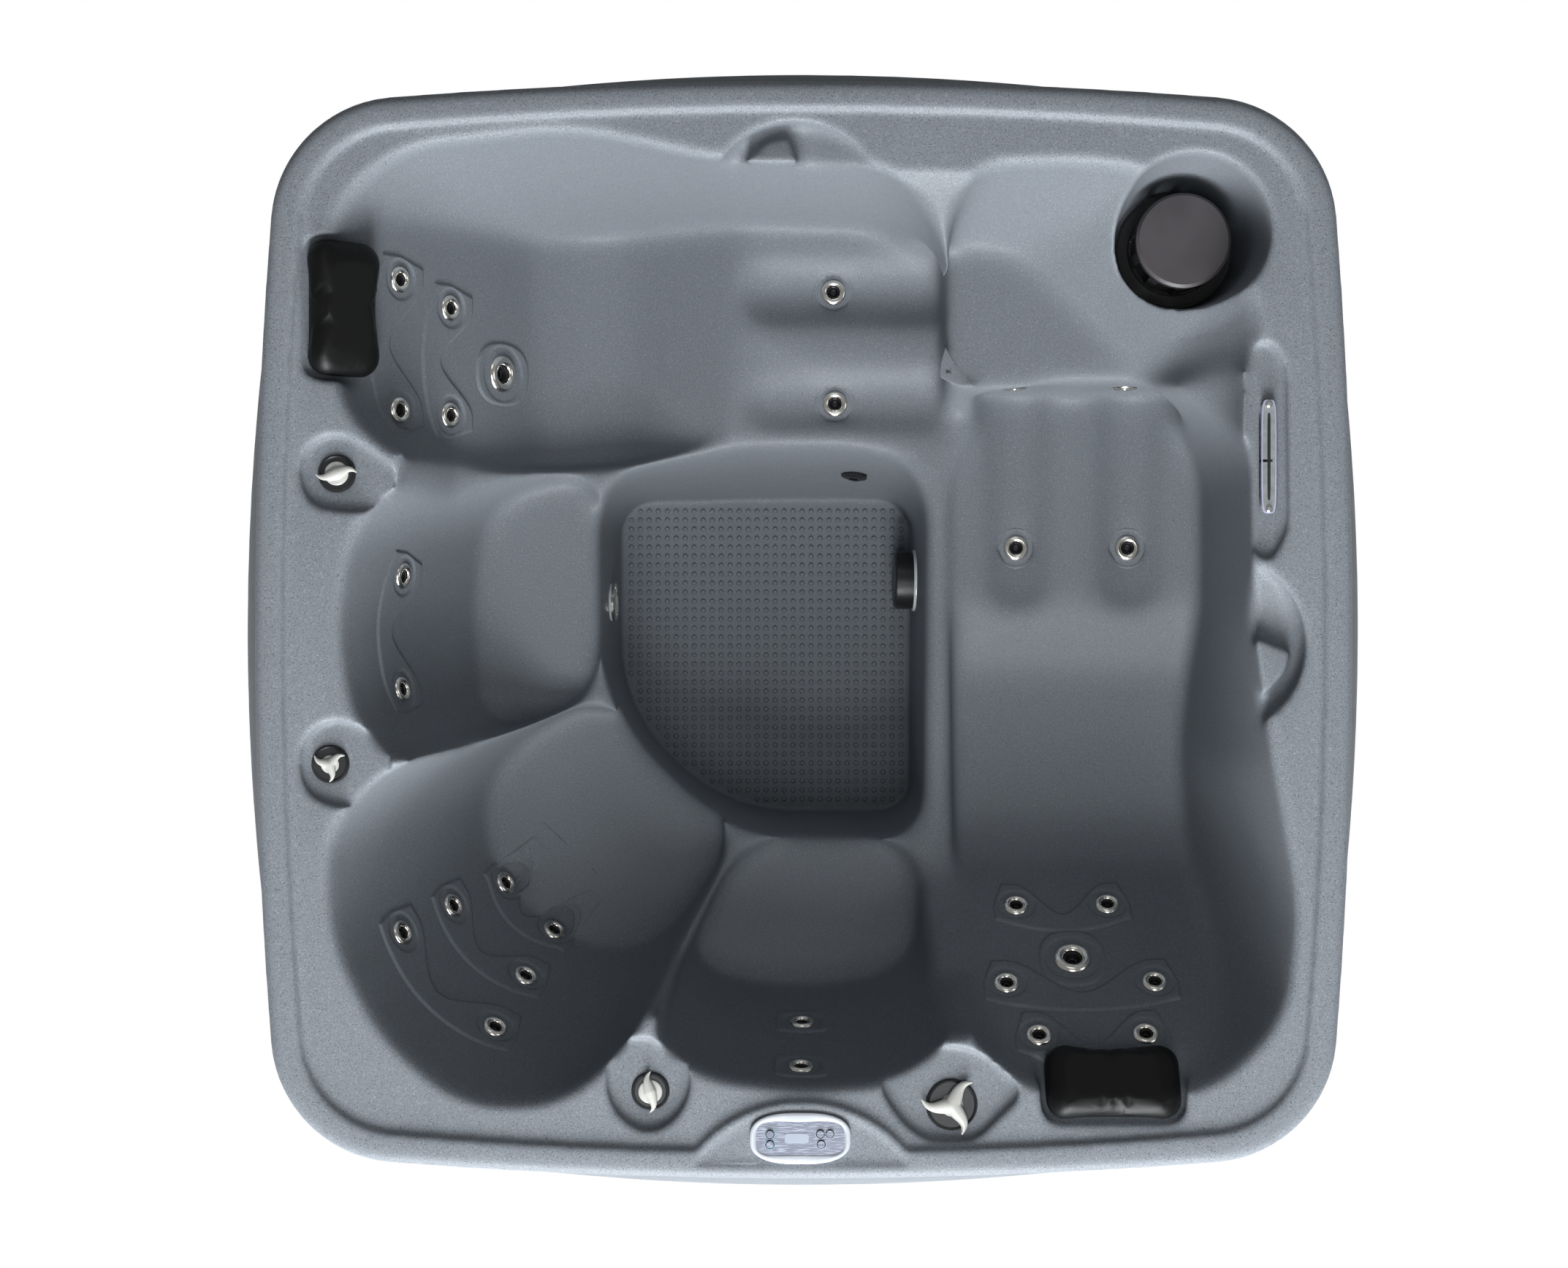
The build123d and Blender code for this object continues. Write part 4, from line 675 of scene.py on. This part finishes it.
def shell_patch(name, normal, middle, along, half_length, half_width, rise, seats,
                reach=pad_reach, deepest=math.inf):
    """Thin skin laid on the shell and lifted by rise(u, v), flat round each jet and open under its ring.

    A hit further than reach from the middle's plane, or deeper than deepest under a near jet's collar, is
    taken for an opening in the shell.
    """
    columns, rows = round(half_length * 2 / patch_step), round(half_width * 2 / patch_step)
    bpy.ops.object.select_all(action="DESELECT")
    bpy.ops.mesh.primitive_grid_add(x_subdivisions=columns, y_subdivisions=rows, size=2)
    patch = bpy.context.object
    patch.name = name
    across = normal.cross(along)
    mesh = bmesh.new()
    mesh.from_mesh(patch.data)
    outside, missing, open_corners = set(), set(), []
    for corner in mesh.verts:
        u, v = corner.co.x * half_length, corner.co.y * half_width
        flat = middle + along * u + across * v
        away, seat = seat_near(flat, normal, seats)
        if away < collar_hole:
            missing.add(corner)
            continue
        if away < collar_radius:
            corner.co = seat
            continue
        hit, _, _, _ = skin.ray_cast(flat + normal * (reach + ray_room), -normal)
        near = away <= opening_reach
        too_far = hit is None or abs((hit - middle).dot(normal)) > reach
        if too_far and not near:
            missing.add(corner)
            continue
        if too_far or (near and (hit - seat).dot(normal) < -deepest):
            corner.co = seat
            open_corners.append(corner)
            continue
        lift = rise(u, v)
        lifted = hit + normal * (lift - pad_sink)
        corner.co = seat.lerp(lifted, soft_step((away - collar_radius) / collar_step))
        if lift <= 0 and away > collar_radius + collar_step:
            outside.add(corner)
    if open_corners:
        span_openings(open_corners, outside, missing)
    gone = [face for face in mesh.faces if any(corner in missing for corner in face.verts)
            or all(corner in outside for corner in face.verts)]
    bmesh.ops.delete(mesh, geom=gone, context="FACES")
    loose = [corner for corner in mesh.verts if not corner.link_faces]
    bmesh.ops.delete(mesh, geom=loose, context="VERTS")
    mesh.to_mesh(patch.data)
    mesh.free()
    finished(patch, ("SOLIDIFY", {"thickness": patch_thickness, "offset": -1}))
    bpy.ops.object.shade_smooth_by_angle(angle=patch_crease)
    patch.data.materials.append(shell_granite)
    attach(patch, "tub")


def pair_pad(name, first, second, towards, half_width=pad_half_width, **openings):
    """Pad that joins two jets, straight on one side and drawn in on the side that `towards` points to."""
    one, normal, _ = jet_seat(first)
    two, other_normal, _ = jet_seat(second)
    normal = (normal + other_normal).normalized()
    along = two - one
    along = (along - normal * along.dot(normal)).normalized()
    side = 1 if normal.cross(along).dot(Vector(towards)) > 0 else -1
    spread = min(1 / max(normal.z, 0.5), widest_spread)
    half = (two - one).dot(along) / 2
    end = half + pad_past_jet

    def rise(u, v):
        v = v * side / spread
        share = min(abs(u) / half, pad_limit)
        waist = -pad_waist + pad_waist_swing * soft_step(share)
        back = pad_back - pad_back_taper * share * share
        round_off = end - abs(u) - max(v, 0) * 0.5
        inside = min(waist - v, v + back, round_off)
        return soft_step(inside / pad_edge) * pad_rise if inside > 0 else 0

    shell_patch(name, normal, (one + two) / 2, along, end + pad_margin, half_width * spread, rise,
                [jet_seat(first), jet_seat(second)], **openings)


def oval_pad(name, jet, half_length, half_width, squareness):
    """Oval or squarish pad round one jet, with its length along X."""
    middle, normal, _ = jet_seat(jet)
    along = Vector((1, 0, 0))
    along = (along - normal * along.dot(normal)).normalized()

    def rise(u, v):
        share = (abs(u / half_length) ** squareness + abs(v / half_width) ** squareness) ** (1 / squareness)
        inside = (1 - share) * min(half_length, half_width)
        return soft_step(inside / pad_edge) * pad_rise if inside > 0 else 0

    shell_patch(name, normal, middle, along, half_length + oval_margin, half_width + oval_margin, rise,
                [jet_seat(jet)])


pair_pad("pad_lounge_a_upper", "lounge_a_back_jet_1", "lounge_a_back_jet_2", (1, 0, 0))
pair_pad("pad_lounge_a_lower", "lounge_a_back_jet_3", "lounge_a_back_jet_4", (1, 0, 0))
pair_pad("pad_seat_c", "seat_c_jet_1", "seat_c_jet_2", (1, 0, 0))
# The seat rises steeply beside this pad, and the jets' beds cut through it there: a wider skin closes it
pair_pad("pad_seat_d_lower", "seat_d_jet_1", "seat_d_jet_2", (1, 1, 0), 0.090, reach=0.110, deepest=0.0025)
pair_pad("pad_seat_d_middle", "seat_d_jet_3", "seat_d_jet_4", (1, 1, 0))
pair_pad("pad_seat_d_upper", "seat_d_jet_5", "seat_d_jet_6", (1, 1, 0))
pair_pad("pad_lounge_b_lower", "lounge_b_back_jet_1", "lounge_b_back_jet_2", (0, 1, 0))
pair_pad("pad_lounge_b_middle", "lounge_b_back_jet_3", "lounge_b_back_jet_4", (0, 1, 0))
pair_pad("pad_lounge_b_upper", "lounge_b_back_jet_5", "lounge_b_back_jet_6", (0, 1, 0))
oval_pad("pad_lounge_a_big", "lounge_a_big_jet", 0.074, 0.060, 2.5)
oval_pad("pad_lounge_b_big", "lounge_b_big_jet", 0.062, 0.070, 2.5)
for name in jet_names:
    if "calf" in name or "foot" in name:
        oval_pad("collar_" + name, name, 0.040, 0.040, 2)
    elif "seat_e" in name:
        oval_pad("pad_" + name, name, 0.050, 0.046, 6)


# Dots on the footwell floor
dot_pitch = 0.0181
dot_radius = 0.0052
dot_height = 0.0030
dot_shoulder = 0.0005
dot_foot = -0.001
dot_top_share = 0.72
dot_room = 0.5
dot_flatness = 0.004
dot_reach = 0.32
well_middle = (-0.07, -0.05)
well_depth = 0.02


def on_well_floor(x, y):
    """Height of the footwell floor at a place, where a dot's room round it is flat, or nothing."""
    heights = []
    for step_x, step_y in ((0, 0), (1, 0), (-1, 0), (0, 1), (0, -1)):
        start = Vector((x + step_x * dot_pitch * dot_room, y + step_y * dot_pitch * dot_room, rim_top))
        hit, _, _, _ = skin.ray_cast(start, Vector((0, 0, -1)))
        if hit is None:
            return None
        heights.append(hit.z)
    flat = max(heights) - min(heights) < dot_flatness
    return heights[0] if flat and heights[0] < shell_low.z + well_depth else None


def floor_dots():
    """One low round dot with a soft edge, repeated in rows and columns over the whole footwell floor."""
    dot = turned("floor_dots", [
        (dot_radius, dot_foot), (dot_radius, dot_shoulder), (dot_radius * dot_top_share, dot_height),
        (0.0, dot_height), (0.0, dot_foot), (dot_radius, dot_foot),
    ], 10, shell_granite)
    dots = bmesh.new()
    count = int(dot_reach / dot_pitch)
    for column in range(-count, count + 1):
        for row in range(-count, count + 1):
            x, y = well_middle[0] + column * dot_pitch, well_middle[1] + row * dot_pitch
            height = on_well_floor(x, y)
            if height is not None:
                first = len(dots.verts)
                dots.from_mesh(dot.data)
                dots.verts.ensure_lookup_table()
                bmesh.ops.translate(dots, verts=dots.verts[first:], vec=(x, y, height))
    dots.to_mesh(dot.data)
    dots.free()
    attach(dot, "tub")


floor_dots()


pillow_voxel = 0.005
pillow_smoothing = 6
pillow_start = 0.965
pillow_cap = 0.005
pillow_frames = 20
pillow_pressure = 4
pillow_quality = 5


def swell(cushion):
    """Cloth under pressure, with no corner moved further than the cap."""
    start = [corner.co.copy() for corner in cushion.data.vertices]
    only(cushion)
    cloth = cushion.modifiers.new("swell", "CLOTH")
    cloth.settings.use_pressure = True
    cloth.settings.uniform_pressure_force = pillow_pressure
    cloth.settings.quality = pillow_quality
    cloth.settings.effector_weights.gravity = 0
    cloth.point_cache.frame_end = pillow_frames
    for step in range(1, pillow_frames + 1):
        bpy.context.scene.frame_set(step)
    bpy.ops.object.modifier_apply(modifier=cloth.name)
    bpy.context.scene.frame_set(1)
    for corner, home in zip(cushion.data.vertices, start):
        move = corner.co - home
        if move.length > pillow_cap:
            corner.co = home + move.normalized() * pillow_cap


def pillow(node):
    """Cushion swollen by cloth pressure from the shape of its CAD solid."""
    cushion = copy_of(node, node + "_cushion")
    finished(cushion, ("REMESH", {"mode": "VOXEL", "voxel_size": pillow_voxel}),
             ("SMOOTH", {"factor": 0.5, "iterations": pillow_smoothing}))
    low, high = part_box(node)
    middle = Matrix.Translation((low + high) / 2)
    cushion.data.transform(middle @ Matrix.Scale(pillow_start, 4) @ middle.inverted())
    swell(cushion)
    finished(cushion, ("SUBSURF", {"levels": 1, "render_levels": 1}))
    bpy.ops.object.shade_smooth()
    cushion.data.materials.clear()
    cushion.data.materials.append(pillow_skin)
    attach(cushion, node)
    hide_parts(node)


pillow("pillow_a")
pillow("pillow_b")


def front_of(node, facing, end_y=math.inf):
    """Middle and direction of the flat front of a round fitting that faces a way, on one side of end_y."""
    mesh = nodes[node].data
    flats = [face for face in mesh.polygons if face.normal.dot(facing) > 0.9 and face.center.y < end_y]
    axis = sum((face.normal * face.area for face in flats), Vector()).normalized()
    corners = [mesh.vertices[corner].co for face in flats for corner in face.vertices]
    reach = max(corner.dot(axis) for corner in corners)
    front = [corner for corner in corners if corner.dot(axis) > reach - 0.0005]
    middle = [(min(spread) + max(spread)) / 2 for spread in zip(*front)]
    return Vector(middle), axis


# Footwell trims: rows of radius and height over the fitting's front
suction_inner = 0.0540
suction_ring_foot, suction_ring_top = -0.0420, -0.0362
suction_ring_rows = [
    (suction_inner, suction_ring_foot), (0.0610, suction_ring_foot), (0.0612, -0.0385),
    (0.0598, suction_ring_top), (suction_inner, suction_ring_top), (suction_inner, suction_ring_foot),
]
suction_middle_reach = 0.125
rib_count = 12
rib_pitch = 0.0026
rib_foot = -0.034
rib_crest, rib_root = 0.0566, 0.0556
light_inner, light_outer = 0.0300, 0.0376
light_ring_rows = [
    (light_inner, -0.0040), (light_outer, -0.0040), (light_outer, 0.0004), (0.0362, 0.0018),
    (0.0312, 0.0018), (light_inner, 0.0004), (light_inner, -0.0040),
]


def footwell_trims():
    """White ring and ribs of the suction cover, and the bright ring of the light."""
    suction_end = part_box("footwell_fittings")[0].y + suction_middle_reach
    suction_place = front_of("footwell_fittings", Vector((-1, 0, 0)), suction_end)
    light_place = front_of("footwell_light", Vector((1, 0, 0)))
    rib_rows = [(suction_inner, rib_foot)]
    for rib in range(rib_count):
        low = rib_foot + rib * rib_pitch
        rib_rows += [(rib_crest, low), (rib_crest, low + rib_pitch * 0.5)]
        rib_rows += [(rib_root, low + rib_pitch * 0.6), (rib_root, low + rib_pitch)]
    rib_rows += [(suction_inner, rib_foot + rib_count * rib_pitch), (suction_inner, rib_foot)]
    set_on(turned("suction_ring", suction_ring_rows, 64, lens_white), *suction_place, "tub")
    set_on(turned("suction_ribs", rib_rows, 64, fitting_black), *suction_place, "tub")
    set_on(turned("light_ring", light_ring_rows, 64, jet_steel), *light_place, "tub")


footwell_trims()


upright = Vector((0, 0, 1))


def top_middle(node):
    low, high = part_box(node)
    return Vector(((low.x + high.x) / 2, (low.y + high.y) / 2, high.z))


# Control panel and waterfall: rows of half length, half width, squareness, bow and height over the top
panel_foot = -0.0100
panel_face_level = -0.0020
panel_rows = [
    (0.0860, 0.0435, 2.7, 0, panel_foot), (0.0870, 0.0445, 2.7, 0, -0.0035),
    (0.0862, 0.0437, 2.7, 0, -0.0010), (0.0842, 0.0417, 2.7, 0, 0.0),
    (0.0800, 0.0345, 2.9, 0.0045, -0.0002), (0.0775, 0.0300, 3.2, 0.0065, -0.0010),
    (0.0765, 0.0290, 3.2, 0.0070, panel_face_level), (0.0, 0.0, 2.0, 0, panel_face_level),
    (0.0, 0.0, 2.0, 0, panel_foot), (0.0860, 0.0435, 2.7, 0, panel_foot),
]
panel_crease = math.radians(35)
button_count = 5
blue_buttons = (1, 2)
button_gap = 0.0004
button_well_depth = 0.05
ring_width = 0.0014
ring_foot, ring_top = -0.0003, 0.0004
screen_half_x, screen_half_y = 0.0205, 0.0085
screen_edge = 0.0007
screen_foot, screen_top = -0.0004, 0.0007
screen_shift = -0.006
fall_squareness = 5
fall_edge_out, fall_edge_in = 0.0004, 0.0018
fall_edge_foot, fall_edge_top = -0.004, 0.0006
slot_half_x, slot_half_y = 0.0027, 0.075
slot_foot, slot_top = -0.001, 0.0003
full_corners = 6


def panel_button(number):
    """Ring round a button, and the cylinder that makes room for it in the housing."""
    low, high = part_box("panel_button_%d" % number)
    spot = (low + high) / 2
    radius = (high.x - low.x) / 2
    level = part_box("panel_housing")[1].z
    bpy.ops.object.select_all(action="DESELECT")
    bpy.ops.mesh.primitive_cylinder_add(vertices=32, radius=radius + button_gap, depth=button_well_depth,
                                        location=(spot.x, spot.y, level))
    well = bpy.context.object
    inner, outer = radius + button_gap, radius + ring_width
    ring = turned("panel_ring_%d" % number, [
        (outer, ring_foot), (outer, ring_top), (inner, ring_top), (inner, ring_foot), (outer, ring_foot),
    ], 48, line_blue if number in blue_buttons else line_white)
    set_on(ring, Vector((spot.x, spot.y, level + panel_face_level)), upright, "tub")
    return well


def panel():
    """Oval bezel with a face sunk in it, a screen and rings round the buttons."""
    middle = top_middle("panel_housing")
    housing = turned("panel_bezel", panel_rows, 128, bezel_white, oval_spot)
    housing.data.materials.append(panel_face)
    corners = housing.data.vertices
    for face in housing.data.polygons:
        sunk = all(abs(corners[corner].co.z - panel_face_level) < weld / 2 for corner in face.vertices)
        face.material_index = 1 if sunk else 0
    housing.data.transform(Matrix.Translation(middle))
    wells = [panel_button(number) for number in range(1, button_count + 1)]
    only(wells[0])
    for well in wells:
        well.select_set(True)
    bpy.ops.object.join()
    bpy.ops.object.transform_apply()
    finished(housing, ("BOOLEAN", {"operation": "DIFFERENCE", "object": wells[0], "solver": "EXACT"}))
    bpy.data.objects.remove(wells[0])
    bpy.ops.object.shade_smooth_by_angle(angle=panel_crease)
    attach(housing, "tub")
    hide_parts("panel_housing")
    foot = (screen_half_x, screen_half_y, full_corners, 0, screen_foot)
    screen = turned("panel_screen", [
        foot, (screen_half_x, screen_half_y, full_corners, 0, screen_top),
        (screen_half_x - screen_edge, screen_half_y - screen_edge, full_corners, 0, screen_top),
        (0.0, 0.0, full_corners, 0, screen_top), (0.0, 0.0, full_corners, 0, screen_foot), foot,
    ], 64, screen_grey, oval_spot)
    set_on(screen, middle + Vector((screen_shift, 0, panel_face_level)), upright, "tub")


panel()


def waterfall():
    """Black sheet on the top as painted shade of the slot's opening, and a pale edge round the clear body."""
    middle = top_middle("waterfall_fitting")
    low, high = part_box("waterfall_fitting")
    half_x, half_y = (high.x - low.x) / 2, (high.y - low.y) / 2

    def edge_row(wider, height):
        return (half_x + wider, half_y + wider, fall_squareness, 0, height)

    edge = turned("waterfall_edge", [
        edge_row(fall_edge_out, fall_edge_foot), edge_row(fall_edge_out, fall_edge_top),
        edge_row(-fall_edge_in, fall_edge_top), edge_row(-fall_edge_in, fall_edge_foot),
        edge_row(fall_edge_out, fall_edge_foot),
    ], 96, fall_edge, oval_spot)
    # Painted shade: a thin black sheet laid over the top stands in for the shaded opening of the slot
    foot = (slot_half_x, slot_half_y, full_corners, 0, slot_foot)
    slot = turned("waterfall_slot", [
        foot, (slot_half_x, slot_half_y, full_corners, 0, slot_top), (0.0, 0.0, full_corners, 0, slot_top),
        (0.0, 0.0, full_corners, 0, slot_foot), foot,
    ], 64, fitting_black, oval_spot)
    for piece in (edge, slot):
        set_on(piece, middle, upright, "tub")


waterfall()


# Knobs: points of a wing in shares of its reach (along, aside, radius), and the hub under the wings
wing_points = [
    (0.0, 0.0, 0.30), (0.30, 0.07, 0.25), (0.62, 0.13, 0.17), (0.88, 0.05, 0.09), (1.02, -0.12, 0.035),
]
wing_flatness = 0.66
wing_depth = 0.0078
hub_low, hub_high = -0.0138, -0.0098
hub_side, hub_dome = 0.003, 0.002
hub_top_share = 0.9
stem_share, stem_length = 0.5, 0.012
knob_voxel = 0.0011
knob_smoothing = 5
knob_faces_left = 0.5


def wing(top, angle, reach):
    """Wing of a knob: a tapered S-curve, flattened and turned to its angle."""
    bpy.ops.curve.primitive_bezier_curve_add()
    curve = bpy.context.object
    curve.data.splines.clear()
    spline = curve.data.splines.new("NURBS")
    spline.points.add(len(wing_points) - 1)
    for point, (x, y, width) in zip(spline.points, wing_points):
        point.co = (x * reach, y * reach, 0, 1)
        point.radius = width * reach
    spline.order_u = 3
    spline.use_endpoint_u = True
    curve.data.bevel_depth = 1.0
    curve.data.bevel_resolution = 6
    curve.data.use_fill_caps = True
    only(curve)
    bpy.ops.object.convert(target="MESH")
    piece = bpy.context.object
    place = Matrix.Translation(top - Vector((0, 0, wing_depth)))
    piece.data.transform(place @ Matrix.Rotation(angle, 4, "Z") @ Matrix.Diagonal((1, 1, wing_flatness, 1)))
    return piece


def knob(node, wings, reach, hub_radius, first_angle):
    """Knob with S-shaped wings grown out of a domed hub."""
    _, top = axis_of(node)
    parts = [wing(top, first_angle + number * math.tau / wings, reach) for number in range(wings)]
    stem, foot = hub_radius * stem_share, hub_low - stem_length
    hub = turned("hub", [
        (stem, foot), (stem, hub_low), (hub_radius, hub_low), (hub_radius, hub_low + hub_side),
        (hub_radius * hub_top_share, hub_high), (0.0, hub_high + hub_dome), (0.0, foot), (stem, foot),
    ], 48, knob_silver)
    hub.data.transform(Matrix.Translation(top))
    only(hub)
    for part in parts:
        part.select_set(True)
    bpy.ops.object.join()
    hub.name = node + "_wings"
    finished(hub, ("REMESH", {"mode": "VOXEL", "voxel_size": knob_voxel}),
             ("SMOOTH", {"factor": 0.5, "iterations": knob_smoothing}),
             ("DECIMATE", {"ratio": knob_faces_left}))
    bpy.ops.object.shade_smooth()
    hub.data.materials.clear()
    hub.data.materials.append(knob_silver)
    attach(hub, node)
    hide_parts(node)


knob("air_knob_left", 2, 0.035, 0.021, math.radians(8))
knob("waterfall_knob", 3, 0.030, 0.016, math.radians(35))
knob("air_knob_front", 2, 0.035, 0.021, math.radians(95))
knob("diverter_knob", 3, 0.052, 0.020, math.radians(55))
